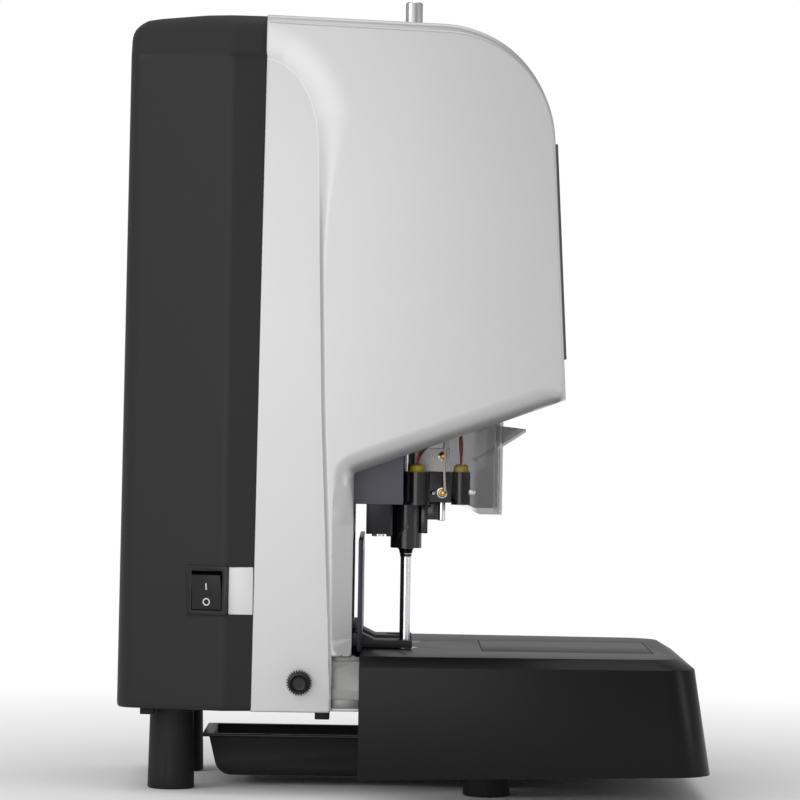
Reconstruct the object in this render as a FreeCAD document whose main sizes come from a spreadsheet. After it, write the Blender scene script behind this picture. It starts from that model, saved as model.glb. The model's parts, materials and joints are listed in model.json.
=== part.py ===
import FreeCAD, Part
import math
import os
import re
import Sketcher

# Desk riveting machine for thick paper files. Millimetres, floor at zero, +Z up.
# The operator stands on the -Y side. X runs across, with the rivet station on the -X half.

SIZES = {
    # Levels and planes that many pieces share
    "table_top": 91.8,
    "body_bottom": 54.0,
    "body_top": 503.4,
    "seam_low": 104.2,
    "seam_high": 100.3,
    "column_front": 40.0,
    "wall": 2.5,
    "running_gap": 0.3,
    "bore_gap": 0.1,
    "overrun": 5.0,
    "bite": 0.01,
    # Base cover, a moulded tub turned upside down and open at the back
    "cover_bottom": 14.0,
    "cover_front_rise": 4.0,
    "cover_rear": 34.5,
    "cover_front_foot": -192.53,
    "cover_front_brow": -181.3,
    "cover_front_lip": -170.6,
    "cover_brow_drop": 6.4,
    "cover_half_foot": 143.0,
    "cover_half_brow": 139.0,
    "cover_half_lip": 130.0,
    "cover_front_narrowing": 12.0,
    "cover_corner_round": 24.0,
    # Hatch let into the table
    "hatch_half": 58.0,
    "hatch_front": -158.0,
    "hatch_rear": -46.0,
    "hatch_depth": 1.4,
    "hatch_gap": 0.5,
    # Steel chassis and side rails
    "chassis_half": 100.0,
    "chassis_front": -75.0,
    "chassis_rear": 150.0,
    "tail_rear": 180.0,
    "tail_half": 84.0,
    "chassis_thick": 2.0,
    "rail_front": -150.0,
    "rail_top": 90.0,
    "rail_front_top": 86.0,
    "rail_step": 38.0,
    "rail_step_run": 4.0,
    "rail_flange": 16.0,
    "rail_thick": 2.0,
    "chute_radius": 7.0,
    # Table plate under the cover's top
    "plate_half": 118.0,
    "plate_front": -40.0,
    "plate_rear": 33.0,
    # Stations
    "station_x": 32.0,
    "station_y": 5.4,
    "die_radius": 9.0,
    "die_stem_radius": 7.0,
    "die_bottom": 70.0,
    "die_bore": 4.2,
    "die_proud": 0.2,
    "pad_radius": 12.0,
    # Side frames, one steel plate each side of the mechanism
    "frame_half": 72.0,
    "frame_thick": 2.5,
    "frame_column_front": 58.0,
    "frame_rear": 100.0,
    "frame_top": 470.0,
    "frame_nose": -50.0,
    "frame_nose_bottom": 262.0,
    "frame_nose_top": 455.0,
    "frame_jaw": 8.0,
    "frame_jaw_bottom": 187.5,
    "column_plate_thick": 2.0,
    # Guide bar, rods, screws and motors
    "bar_front": 16.0,
    "bar_rear": 31.8,
    "bar_bottom": 168.0,
    "bar_lug": 8.0,
    "bar_lug_top": 212.0,
    "guide_y": 24.0,
    "rod_spread": 20.0,
    "rod_radius": 4.0,
    "rod_bottom": 166.0,
    "motor_plate_bottom": 398.0,
    "motor_plate_thick": 4.0,
    "motor_plate_front": -36.0,
    "screw_bottom": 172.0,
    "lift_motor_radius": 12.0,
    "lift_motor_height": 66.0,
    "lift_gearbox_height": 22.0,
    # Rivet tube inlet and feed
    "sleeve_top": 519.4,
    "sleeve_radius": 5.65,
    "sleeve_bore": 4.15,
    "sleeve_mouth": 4.7,
    "sleeve_mouth_depth": 30.0,
    "sleeve_chamfer": 0.8,
    "feed_radius": 3.8,
    "feed_bore": 2.8,
    "feed_top": 440.0,
    # Rivet unit
    "unit_half": 30.0,
    "unit_front": 12.0,
    "unit_rear": 36.0,
    "rivet_arm_half": 14.0,
    "rivet_arm_front": -22.0,
    "rivet_arm_bottom": 224.3,
    "rivet_arm_top": 236.0,
    "block_half": 12.0,
    "block_front": -24.0,
    "block_rear": 10.0,
    "block_bottom": 188.5,
    "block_top": 208.7,
    "block_seat": 5.0,
    "insulator_half": 11.0,
    "insulator_front": -22.7,
    "insulator_rear": 0.6,
    "hub_radius": 10.3,
    "hub_bottom": 158.0,
    "hub_screw_radius": 1.6,
    "hub_screw_z": 172.0,
    "needle_radius": 3.5,
    "needle_bore": 2.5,
    "needle_tip": 92.6,
    "needle_top": 178.0,
    "shoulder_radius": 4.6,
    "shoulder_low_radius": 3.65,
    "shoulder_drop": 6.0,
    "heater_side_radius": 8.4,
    "heater_side_y": -1.0,
    "heater_front_radius": 6.3,
    "heater_drop": 1.5,
    "cap_radius": 5.0,
    "cap_height": 5.3,
    "terminal_radius": 3.6,
    "terminal_small_radius": 2.9,
    "terminal_length": 3.0,
    "terminal_y": -17.8,
    "terminal_z": 195.0,
    "terminal_upper_z": 219.0,
    "clamp_screw_y": -11.7,
    "clamp_screw_radius": 1.7,
    "clamp_screw_length": 9.0,
    "lead_radius": 0.9,
    # Drill unit
    "drill_block_bottom": 256.0,
    "drill_block_top": 282.0,
    "drill_deck_top": 268.0,
    "drill_arm_half": 12.0,
    "drill_arm_front": -8.0,
    "drill_deck_half": 19.0,
    "drill_deck_rear": 76.0,
    "quill_radius": 9.6,
    "quill_bottom": 254.8,
    "quill_top": 325.0,
    "spindle_radius": 4.0,
    "spindle_top": 350.0,
    "spindle_pulley_radius": 8.0,
    "pulley_bottom": 334.0,
    "pulley_height": 12.0,
    "pulley_rim": 1.0,
    "pulley_rim_out": 1.6,
    "chuck_radius": 10.0,
    "chuck_nose_radius": 6.0,
    "chuck_bottom": 205.0,
    "chuck_taper": 10.0,
    "chuck_top": 235.0,
    "bit_radius": 3.0,
    "bit_bore": 2.2,
    "bit_tip": 158.4,
    "bit_top": 222.0,
    "drill_motor_y": 56.0,
    "drill_motor_radius": 18.0,
    "drill_motor_top": 328.0,
    "drill_motor_boss": 6.0,
    "drill_motor_boss_top": 331.0,
    "motor_pulley_radius": 10.0,
    "motor_shaft_radius": 2.5,
    "belt_thick": 1.5,
    # Press foot
    "foot_bottom": 92.3,
    "foot_thick": 4.8,
    "foot_tip": 0.5,
    "gusset_front": 25.0,
    "gusset_rear": 34.0,
    "gusset_height": 9.2,
    "rivet_foot_half": 12.0,
    "rivet_fork_half": 4.6,
    "rivet_fork_rear": 11.0,
    "drill_foot_half": 18.0,
    "drill_fork_half": 12.0,
    "drill_fork_rear": 18.0,
    "bar_foot_half": 65.0,
    "bar_foot_front": 37.6,
    "bar_foot_rear": 51.5,
    "bar_foot_bottom": 88.0,
    "bar_foot_top": 106.0,
    "post_x": 60.0,
    "post_y": 46.5,
    "post_top": 192.0,
    "post_guide_bottom": 158.5,
    "post_guide_top": 180.0,
    "post_guide_half": 6.5,
    # Fence with its racks, and the margin shaft that drives it
    "fence_front": 33.4,
    "fence_thick": 3.0,
    "fence_half": 90.0,
    "fence_lift": 0.3,
    "fence_top": 164.5,
    "slot_side_gap": 2.0,
    "slot_top": 155.5,
    "arm_x": 79.0,
    "arm_half": 2.0,
    "arm_bottom": 95.0,
    "arm_top": 104.0,
    "arm_drop_front": 51.5,
    "arm_drop_rear": 57.0,
    "rack_rear": 104.0,
    "rack_top": 90.0,
    "tooth_module": 1.0,
    "margin_y": 73.1,
    "margin_z": 73.0,
    "shaft_radius": 3.0,
    "shaft_end": 86.0,
    "pinion_half": 3.0,
    "backlash": 0.3,
    "knob_radius": 8.2,
    "knob_skirt": 7.0,
    "knob_cap_radius": 6.2,
    "knob_cap": 6.0,
    "knob_flute_radius": 0.6,
    "knob_standoff": 0.4,
    "rack_guide_front": 90.0,
    "rack_guide_rear": 99.0,
    "rack_guide_half": 4.5,
    "rack_guide_web": 2.5,
    # Tray and hanger
    "tray_half": 44.0,
    "tray_floor": 6.4,
    "tray_rim": 33.7,
    "tray_rim_thick": 2.0,
    "tray_rim_width": 4.0,
    "tray_front": -90.0,
    "tray_rear": 138.0,
    "tray_rear_floor": 127.5,
    "tray_wall": 1.8,
    "tray_round": 6.0,
    "tray_rear_round": 11.0,
    "hanger_bottom": 34.5,
    "hanger_top": 37.5,
    "hanger_front": -95.0,
    "hanger_rear": 33.0,
    "hanger_half": 48.5,
    "runner_rear": 30.0,
    "runner_thick": 1.5,
    "runner_lip": 7.0,
    "hanger_post_half": 5.0,
    "hanger_post_front": -60.0,
    "hanger_post_rear": 24.0,
    # Legs
    "leg_radius": 14.2,
    "leg_foot_radius": 15.3,
    "rear_leg_x": 61.5,
    "rear_leg_y": 157.2,
    "front_leg_x": 82.0,
    "front_leg_y": -48.9,
    # Rear cover
    "rear_half_seam": 108.6,
    "rear_half_wide": 112.0,
    "rear_wide_y": 122.7,
    "rear_half_back": 93.0,
    "rear_back_low": 191.9,
    "rear_back_high": 188.9,
    "rear_corner_round": 14.0,
    "rear_bevel_low": 476.0,
    "rear_bevel_in": 13.0,
    "rear_top_round": 9.0,
    "vent_half": 40.0,
    "vent_low": 300.0,
    "vent_pitch": 12.0,
    "vent_height": 4.0,
    # Silver housing
    "head_half": 111.5,
    "strip_recess": 3.0,
    "rim_half": 100.0,
    "jaw_gap": 6.0,
    "head_rear_top": 498.5,
    "head_front_top": 491.2,
    "head_nose_top": -82.5,
    "head_nose": -95.6,
    "head_nose_bottom": 257.0,
    "head_jaw_bottom": 208.0,
    "head_round": 72.0,
    "chin_round": 7.0,
    "strip_bottom": 53.6,
    "strip_front": 52.6,
    "band_bottom": 90.0,
    "fold_top": 475.0,
    "fold_high": 66.0,
    "fold_mid": 64.7,
    "fold_mid_z": 398.0,
    "fold_low": 53.0,
    "fold_round": 34.0,
    "edge_round": 3.0,
    "tab_low": 116.0,
    "tab_high": 146.6,
    "tab_reach": 119.6,
    "tab_proud": 0.6,
    "tab_sunk": 1.0,
    # Fascia, the proud band over the top and down the front
    "fascia_rear_top": 503.3,
    "fascia_front_top": 496.7,
    "fascia_corner": -84.2,
    "fascia_nose": -97.5,
    "fascia_nose_bottom": 257.5,
    "fascia_round": 78.0,
    "fascia_return": 11.0,
    "fascia_edge_round": 3.5,
    "fascia_chin": 22.0,
    "fascia_chin_rise": 8.0,
    # Control panel, keys and window
    "panel_half": 62.0,
    "panel_low": 284.0,
    "panel_high": 425.0,
    "panel_proud": 1.8,
    "panel_sunk": 1.0,
    "window_half": 40.0,
    "window_low": 352.0,
    "window_high": 400.0,
    "window_thick": 1.2,
    "key_z": 314.0,
    "key_pitch": 28.0,
    "key_radius": 7.5,
    "key_gap": 0.4,
    "key_proud": 1.6,
    "key_depth": 5.0,
    # Switch and inlet
    "switch_y": 133.0,
    "switch_z": 131.2,
    "switch_half_width": 13.6,
    "switch_half_height": 15.8,
    "switch_flange": 1.8,
    "switch_body_half_width": 11.6,
    "switch_body_half_height": 13.6,
    "switch_depth": 20.0,
    "rocker_half_width": 9.8,
    "rocker_half_height": 11.2,
    "rocker_window_half": 12.7,
    "rocker_proud": 1.4,
    "rocker_dish": 1.4,
    "rocker_gap": 0.4,
    "rocker_pivot_depth": 5.0,
    "rocker_pivot_radius": 1.5,
    "rocker_tilt": -7.0,
    "inlet_x": 45.0,
    "inlet_z": 92.0,
    "inlet_half_width": 15.5,
    "inlet_half_height": 12.0,
    "inlet_flange": 2.5,
    "inlet_body_half_width": 13.6,
    "inlet_body_half_height": 10.0,
    "inlet_depth": 22.0,
    "inlet_well_half_width": 11.6,
    "inlet_well_half_height": 7.6,
    "inlet_well_depth": 17.0,
    "inlet_pin_half": 1.6,
    "inlet_pin_length": 13.0,
    "inlet_pin_spread": 7.0,
    # Guard
    "guard_gap": 7.5,
    "guard_thick": 2.0,
    "guard_front": -56.6,
    "guard_bottom": 182.2,
    "guard_top": 276.0,
    "guard_foot_rear": -42.0,
    "guard_rear": -22.0,
    "guard_rear_low": 196.0,
    "guard_round": 5.0,
    "visor_tip": -71.3,
    "visor_tip_z": 238.0,
    "visor_inner": -40.0,
    "visor_inner_z": 217.5,
    "guard_screw_y": -31.0,
    "guard_screw_pitch": 15.0,
    "guard_screw_z": 269.0,
    "guard_screw_radius": 3.2,
    "guard_screw_head": 2.2,
    # Electronics
    "board_lap": 6.0,
    "board_low": 262.0,
    "board_high": 396.0,
    "board_front": 106.0,
    "board_thick": 1.6,
    "board_chip_share": 0.22,
    "board_chip_height": 9.0,
    "supply_half": 50.0,
    "supply_front": 108.0,
    "supply_rear": 160.0,
    "supply_top": 97.0,
    "bundle_gap": 3.5,
    "bundle_y": 41.5,
    "bundle_low": 94.0,
    "bundle_high": 182.0,
    "bundle_radius": 1.6,
}

TOOTH_COUNT = 16
ROOT_SHARE = 1.25
PRESSURE_ANGLE = 20
KNOB_FLUTES = 25
VENT_COUNT = 10
ZERO = "0"
TOLERANCE = 1e-4

doc = FreeCAD.newDocument("riveting_machine")
sheet = doc.addObject("Spreadsheet::Sheet", "dim")
for row, (name, number) in enumerate(SIZES.items(), 1):
    sheet.set(f"A{row}", name)
    sheet.set(f"B{row}", str(number))
    sheet.setAlias(f"B{row}", name)
doc.recompute()

parts = {}


def size(name):
    """One size, read from the sheet."""
    return float(sheet.get(name))


def formula(text):
    """A formula on the sheet's sizes: each size's name gets the sheet's name before it."""
    return re.sub(r"[a-z][a-z_]+", lambda word: "dim." + word.group() if word.group() in SIZES else word.group(), text)


def bind(thing, prop, text):
    thing.setExpression(prop, formula(text))


def keep(node, thing):
    """Name a finished sub-part."""
    thing.Label = node
    parts[node] = thing
    return thing


def box(name, x, y, z):
    """A block between two formulas on each axis."""
    block = doc.addObject("Part::Box", name)
    for prop, axis, (low, high) in (("Length", "x", x), ("Width", "y", y), ("Height", "z", z)):
        bind(block, prop, f"({high}) - ({low})")
        bind(block, f"Placement.Base.{axis}", low)
    return block


TURNS = {
    "x": FreeCAD.Rotation(FreeCAD.Vector(0, 1, 0), 90),
    "y": FreeCAD.Rotation(FreeCAD.Vector(1, 0, 0), -90),
    "z": FreeCAD.Rotation(),
}


def rod(name, axis, spot, low, high, radius):
    """A cylinder along an axis, from low to high. The spot gives the other two coordinates in order."""
    cylinder = doc.addObject("Part::Cylinder", name)
    cylinder.Placement = FreeCAD.Placement(FreeCAD.Vector(), TURNS[axis])
    bind(cylinder, "Radius", radius)
    bind(cylinder, "Height", f"({high}) - ({low})")
    others = [letter for letter in "xyz" if letter != axis]
    bind(cylinder, f"Placement.Base.{axis}", low)
    for letter, text in zip(others, spot):
        bind(cylinder, f"Placement.Base.{letter}", text)
    return cylinder


def cone(name, spot, low, high, low_radius, high_radius):
    """An upright cone."""
    taper = doc.addObject("Part::Cone", name)
    bind(taper, "Radius1", low_radius)
    bind(taper, "Radius2", high_radius)
    bind(taper, "Height", f"({high}) - ({low})")
    for letter, text in zip("xyz", (*spot, low)):
        bind(taper, f"Placement.Base.{letter}", text)
    return taper


def fuse(name, pieces):
    whole = doc.addObject("Part::MultiFuse", name)
    whole.Shapes = pieces
    return whole


def cut(name, base, tools):
    """Take tools away from a base."""
    tool = tools[0] if len(tools) == 1 else fuse(name + "_tools", tools)
    rest = doc.addObject("Part::Cut", name)
    rest.Base = base
    rest.Tool = tool
    return rest


def group(name, pieces):
    """Separate solids of one node."""
    several = doc.addObject("Part::Compound", name)
    several.Links = pieces
    return several


def mirrored(name, source):
    """The piece on the other side of the machine."""
    other = doc.addObject("Part::Mirroring", name)
    other.Source = source
    other.Normal = FreeCAD.Vector(1, 0, 0)
    return other


def outline(body, name, plane, points, level):
    """A closed outline on one of the body's own planes, each corner held by two formulas."""
    sketch = body.newObject("Sketcher::SketchObject", name)
    origin_plane = next(thing for thing in body.Origin.OriginFeatures if thing.Role == plane)
    sketch.AttachmentSupport = [(origin_plane, "")]
    sketch.MapMode = "FlatFace"
    bind(sketch, "AttachmentOffset.Base.z", level)
    count = len(points)
    ring = [2 * math.pi * number / count for number in range(count)]
    spots = [FreeCAD.Vector(math.cos(angle), math.sin(angle), 0) for angle in ring]
    for number, spot in enumerate(spots):
        sketch.addGeometry(Part.LineSegment(spot, spots[(number + 1) % count]), False)
    rules = [Sketcher.Constraint("Coincident", number, 2, (number + 1) % count, 1) for number in range(count)]
    for number, spot in enumerate(spots):
        rules.append(Sketcher.Constraint("DistanceX", -1, 1, number, 1, spot.x))
        rules.append(Sketcher.Constraint("DistanceY", -1, 1, number, 1, spot.y))
    sketch.addConstraint(rules)
    for number, (across, up) in enumerate(points):
        bind(sketch, f"Constraints[{count + 2 * number}]", across)
        bind(sketch, f"Constraints[{count + 2 * number + 1}]", up)
    return sketch


def prism(name, plane, points, low, high, rounds=()):
    """An outline drawn out between two levels, with some of its corners rounded."""
    body = doc.addObject("PartDesign::Body", name)
    level, far = (f"-({high})", f"-({low})") if plane == "XZ_Plane" else (low, high)
    sketch = outline(body, name + "_outline", plane, points, level)
    feature = body.newObject("PartDesign::Pad", name + "_pad")
    feature.Profile = sketch
    bind(feature, "Length", f"({far}) - ({level})")
    doc.recompute()
    for number, (corners, radius) in enumerate(rounds):
        tests = [standing_on(sketch, corner) for corner in corners]
        feature = rounded(body, f"{name}_round_{number}", feature, tests, radius)
    return body


def rounded_wire(points, level, radii):
    """A level outline through the points, with an arc at each corner that has a radius."""
    edges = []
    count = len(points)
    spots = [FreeCAD.Vector(across, along, level) for across, along in points]
    joints = []
    for number, spot in enumerate(spots):
        radius = radii.get(number, 0)
        back = (spots[number - 1] - spot).normalize()
        ahead = (spots[(number + 1) % count] - spot).normalize()
        half_turn = (math.pi - back.getAngle(ahead)) / 2
        reach = radius * math.tan(half_turn)
        middle = spot + (back + ahead).normalize() * (radius / math.cos(half_turn) - radius)
        joints.append((spot + back * reach, middle, spot + ahead * reach))
    for number, (enter, middle, leave) in enumerate(joints):
        if number in radii:
            edges.append(Part.Arc(enter, middle, leave).toShape())
        edges.append(Part.LineSegment(leave, joints[(number + 1) % count][0]).toShape())
    return Part.Wire(edges)


def loft(name, sections, radii):
    """Level outlines joined by flat sides, their corners rounded alike. Sections are (level, points)."""
    shell = doc.addObject("Part::Feature", name)
    wires = [rounded_wire(points, level, radii) for level, points in sections]
    shell.Shape = Part.makeLoft(wires, True, True)
    return shell


def passes(edge, spot):
    return edge.distToShape(Part.Vertex(spot))[0] < TOLERANCE


def corner_of(sketch, corner):
    return sketch.Placement.multVec(sketch.getPoint(corner, 1))


def standing_on(sketch, corner):
    """A test for the edge that runs square off an outline at one of its corners."""
    spot = corner_of(sketch, corner)
    normal = sketch.Placement.Rotation.multVec(FreeCAD.Vector(0, 0, 1))

    def test(edge):
        ends = [vertex.Point for vertex in edge.Vertexes]
        straight = len(ends) == 2 and (ends[1] - ends[0]).cross(normal).Length < TOLERANCE
        return straight and passes(edge, spot)

    return test


def rounded(body, name, feature, tests, radius):
    """Round each edge that passes one of the tests."""
    edges = enumerate(feature.Shape.Edges, 1)
    names = [f"Edge{number}" for number, edge in edges if any(test(edge) for test in tests)]
    if not names:
        raise ValueError(f"{name}: no edge found")
    fillet = body.newObject("PartDesign::Fillet", name)
    fillet.Base = (feature, names)
    bind(fillet, "Radius", radius)
    doc.recompute()
    return fillet


def chamfered(name, source, test, width):
    """Bevel the edges of a finished shape that pass the test."""
    doc.recompute()
    chamfer = doc.addObject("Part::Chamfer", name)
    chamfer.Base = source
    edges = enumerate(source.Shape.Edges, 1)
    chamfer.Edges = [(number, size(width), size(width)) for number, edge in edges if test(edge)]
    return chamfer


def softened(name, source, test, radius):
    """Round the edges of a finished shape that pass the test."""
    doc.recompute()
    fillet = doc.addObject("Part::Fillet", name)
    fillet.Base = source
    edges = enumerate(source.Shape.Edges, 1)
    fillet.Edges = [(number, size(radius), size(radius)) for number, edge in edges if test(edge)]
    return fillet


def at_height(level):
    return lambda edge: abs(edge.BoundBox.ZMin - level) < TOLERANCE and abs(edge.BoundBox.ZMax - level) < TOLERANCE


# Places that several pieces share

RIVET_SPOT = ("-station_x", "station_y")
DRILL_SPOT = ("station_x", "station_y")
CHASSIS_TOP = "body_bottom + chassis_thick"
PLATE_TOP = "table_top - wall"
MOTOR_PLATE_TOP = "motor_plate_bottom + motor_plate_thick"
GUARD_HALF = "(frame_half + frame_thick + guard_gap)"
JAW_RIM_HALF = "(frame_half + frame_thick + guard_gap + jaw_gap)"
BOARD_HALF = "(frame_half + board_lap)"
FENCE_REAR = "fence_front + fence_thick"
SIDES = ("-1", "1")
PITCH_LINE = f"margin_z + tooth_module * {TOOTH_COUNT / 2}"
TOOTH_TIPS = f"{PITCH_LINE} - tooth_module"
TOOTH_ROOTS = f"{PITCH_LINE} + tooth_module * {ROOT_SHARE}"


def cover_section(half, front, inset):
    """The base cover's plan at one level. It narrows towards the front."""
    rear_half = size(half) - inset
    front_half = rear_half - size("cover_front_narrowing")
    front_line = size(front) + inset
    rear_line = size("cover_rear")
    return [(-rear_half, rear_line), (-front_half, front_line), (front_half, front_line), (rear_half, rear_line)]


def base_cover():
    wall = size("wall")
    top = size("table_top")
    brow = top - size("cover_brow_drop")
    radius = size("cover_corner_round")
    foot_level = size("cover_bottom")
    outer = loft("cover_outer", [
        (foot_level, cover_section("cover_half_foot", "cover_front_foot", 0)),
        (brow, cover_section("cover_half_brow", "cover_front_brow", 0)),
        (top, cover_section("cover_half_lip", "cover_front_lip", 0)),
    ], {1: radius, 2: radius})
    inner = loft("cover_inner", [
        (foot_level - size("bite"), cover_section("cover_half_foot", "cover_front_foot", wall)),
        (brow - wall / 2, cover_section("cover_half_brow", "cover_front_brow", wall)),
        (top - wall, cover_section("cover_half_lip", "cover_front_lip", wall)),
    ], {1: radius - wall, 2: radius - wall})
    mouth = box("cover_mouth", ("-(plate_half)", "plate_half"), ("cover_rear - bite", "cover_rear + overrun"),
                ("-overrun", PLATE_TOP))
    foot = prism("cover_foot_line", "YZ_Plane", [
        ("cover_rear + overrun", "-overrun"),
        ("cover_rear + overrun", "cover_bottom"),
        ("cover_rear", "cover_bottom"),
        ("cover_front_foot - overrun", "cover_bottom + cover_front_rise"),
        ("cover_front_foot - overrun", "-overrun"),
    ], "-cover_half_foot - overrun", "cover_half_foot + overrun")
    hatch_well = box("cover_hatch_well", ("-hatch_half - hatch_gap", "hatch_half + hatch_gap"),
                     ("hatch_front - hatch_gap", "hatch_rear + hatch_gap"),
                     ("table_top - hatch_depth", "table_top + overrun"))
    die_hole = rod("cover_die_hole", "z", RIVET_SPOT, PLATE_TOP + " - overrun", "table_top + overrun",
                   "die_radius + bore_gap")
    pad_hole = rod("cover_pad_hole", "z", DRILL_SPOT, PLATE_TOP + " - overrun", "table_top + overrun",
                   "pad_radius + bore_gap")
    shell = cut("cover_shell", outer, [inner, mouth, foot, hatch_well, die_hole, pad_hole])
    ribs = [
        box(f"cover_rib_{side}", (f"{side} * chassis_half - rail_flange / 2", f"{side} * chassis_half + rail_flange / 2"),
            ("rail_front + rail_thick", "rail_front + rail_flange"), ("rail_front_top", PLATE_TOP))
        for side in SIDES
    ]
    keep("base_cover", fuse("base_cover", [shell, *ribs]))
    keep("base_hatch", box("base_hatch", ("-hatch_half", "hatch_half"), ("hatch_front", "hatch_rear"),
                           ("table_top - hatch_depth", "table_top")))


def chassis():
    plate = box("chassis_sheet", ("-chassis_half", "chassis_half"), ("chassis_front", "chassis_rear"),
                ("body_bottom", CHASSIS_TOP))
    chutes = [
        rod(f"chassis_chute_{side}", "z", (f"{side} * station_x", "station_y"), "body_bottom - overrun",
            CHASSIS_TOP + " + overrun", "chute_radius")
        for side in SIDES
    ]
    tail = box("chassis_tail", ("-tail_half", "tail_half"), ("chassis_rear - bite", "tail_rear"),
               ("body_bottom", CHASSIS_TOP))
    keep("chassis_plate", cut("chassis_plate", fuse("chassis_blank", [plate, tail]), chutes))


def side_rails():
    def profile(inset):
        low = f"{CHASSIS_TOP} + {inset}"
        reach = "overrun" if inset != ZERO else ZERO
        return [
            (f"chassis_rear + {reach}", low),
            (f"chassis_rear + {reach}", f"rail_top - {inset}"),
            ("rail_step", f"rail_top - {inset}"),
            ("rail_step - rail_step_run", f"rail_front_top - {inset}"),
            (f"rail_front - {reach}", f"rail_front_top - {inset}"),
            (f"rail_front - {reach}", low),
        ]

    bar = prism("rail_bar", "YZ_Plane", profile(ZERO), "-chassis_half", "-chassis_half + rail_flange")
    channel = prism("rail_channel", "YZ_Plane", profile("rail_thick"), "-chassis_half + rail_thick",
                    "-chassis_half + rail_flange + overrun")
    shaft_hole = rod("rail_shaft_hole", "x", ("margin_y", "margin_z"), "-chassis_half - overrun",
                     "-chassis_half + overrun", "shaft_radius + running_gap")
    left = cut("rail_left", bar, [channel, shaft_hole])
    keep("side_rails", group("side_rails", [left, mirrored("rail_right", left)]))


def table_plate():
    plate = box("table_sheet", ("-plate_half", "plate_half"), ("plate_front", "plate_rear"), ("rail_front_top", PLATE_TOP))
    stem = rod("table_die_hole", "z", RIVET_SPOT, "rail_front_top - overrun", "table_top", "die_stem_radius")
    keep("table_plate", cut("table_plate", plate, [stem]))


def dies():
    flange = rod("die_flange", "z", RIVET_SPOT, PLATE_TOP, "table_top + die_proud", "die_radius")
    stem = rod("die_stem", "z", RIVET_SPOT, "die_bottom", "table_top", "die_stem_radius")
    bore = rod("die_bore_cut", "z", RIVET_SPOT, "die_bottom - overrun", "table_top + overrun", "die_bore")
    keep("lower_die", cut("lower_die", fuse("die_blank", [flange, stem]), [bore]))
    keep("cutting_pad", rod("cutting_pad", "z", DRILL_SPOT, PLATE_TOP, "table_top + die_proud", "pad_radius"))


def side_frames():
    sheet_body = prism("frame_sheet", "YZ_Plane", [
        ("frame_rear", CHASSIS_TOP),
        ("frame_rear", "frame_top"),
        ("frame_nose + frame_rear / 2", "frame_top"),
        ("frame_nose", "frame_nose_top"),
        ("frame_nose", "frame_nose_bottom"),
        ("frame_jaw", "frame_nose_bottom"),
        ("frame_jaw", "frame_jaw_bottom"),
        ("frame_column_front", "frame_jaw_bottom"),
        ("frame_column_front", CHASSIS_TOP),
    ], "-frame_half - frame_thick", "-frame_half")
    bearing = rod("frame_bearing", "x", ("margin_y", "margin_z"), "-frame_half - overrun", "-frame_half + overrun",
                  "shaft_radius + bore_gap")
    left = keep("side_frame_left", cut("side_frame_left", sheet_body, [bearing]))
    keep("side_frame_right", mirrored("side_frame_right", left))
    keep("column_plate", box("column_plate", ("-frame_half", "frame_half"),
                             ("frame_column_front", "frame_column_front + column_plate_thick"),
                             (CHASSIS_TOP, "frame_jaw_bottom")))


def motor_plate():
    plate = box("motor_sheet", ("-frame_half", "frame_half"), ("motor_plate_front", "frame_rear"),
                ("motor_plate_bottom", MOTOR_PLATE_TOP))
    holes = [
        rod("motor_feed_hole", "z", RIVET_SPOT, "motor_plate_bottom - overrun", MOTOR_PLATE_TOP + " + overrun",
            "feed_radius + running_gap"),
    ]
    for side in SIDES:
        holes.append(rod(f"motor_screw_hole_{side}", "z", (f"{side} * station_x", "guide_y"),
                         "motor_plate_bottom - overrun", MOTOR_PLATE_TOP + " + overrun", "rod_radius + running_gap"))
        holes.extend(guide_rod_shapes("motor_rod_hole", side))
    keep("motor_plate", cut("motor_plate", plate, holes))


def guide_rod_shapes(name, side):
    """The two guide rods of one unit."""
    return [
        rod(f"{name}_{side}_{way}", "z", (f"{side} * station_x + {way} * rod_spread", "guide_y"), "rod_bottom",
            MOTOR_PLATE_TOP, "rod_radius")
        for way in SIDES
    ]


def guides():
    bar = box("bar_block", ("-frame_half", "frame_half"), ("bar_front", "bar_rear"), ("bar_bottom", "frame_jaw_bottom"))
    lugs = [
        box(f"bar_lug_{side}", (f"{side} * (frame_half - bar_lug / 2) - bar_lug / 2",
                                f"{side} * (frame_half - bar_lug / 2) + bar_lug / 2"),
            ("bar_front", "bar_rear"), ("frame_jaw_bottom - bite", "bar_lug_top"))
        for side in SIDES
    ]
    holes = [shape for side in SIDES for shape in guide_rod_shapes("bar_rod_hole", side)]
    for side in SIDES:
        holes.append(rod(f"bar_screw_hole_{side}", "z", (f"{side} * station_x", "guide_y"), "screw_bottom - running_gap",
                         "bar_lug_top", "rod_radius + bore_gap"))
    keep("guide_bar", cut("guide_bar", fuse("bar_blank", [bar, *lugs]), holes))
    keep("guide_rods", group("guide_rods", [shape for side in SIDES for shape in guide_rod_shapes("rod_bar", side)]))
    for side, node in zip(SIDES, ("rivet_screw", "drill_screw")):
        keep(node, rod(node, "z", (f"{side} * station_x", "guide_y"), "screw_bottom", MOTOR_PLATE_TOP, "rod_radius"))
    motors = []
    for side in SIDES:
        spot = (f"{side} * station_x", "guide_y")
        gearbox = rod(f"lift_gearbox_{side}", "z", spot, MOTOR_PLATE_TOP, MOTOR_PLATE_TOP + " + lift_gearbox_height",
                      "lift_motor_radius")
        can = rod(f"lift_can_{side}", "z", spot, MOTOR_PLATE_TOP + " + lift_gearbox_height",
                  MOTOR_PLATE_TOP + " + lift_motor_height", "lift_motor_radius - wall / 2")
        motors.append(fuse(f"lift_motor_{side}", [gearbox, can]))
    keep("lift_motors", group("lift_motors", motors))


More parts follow.
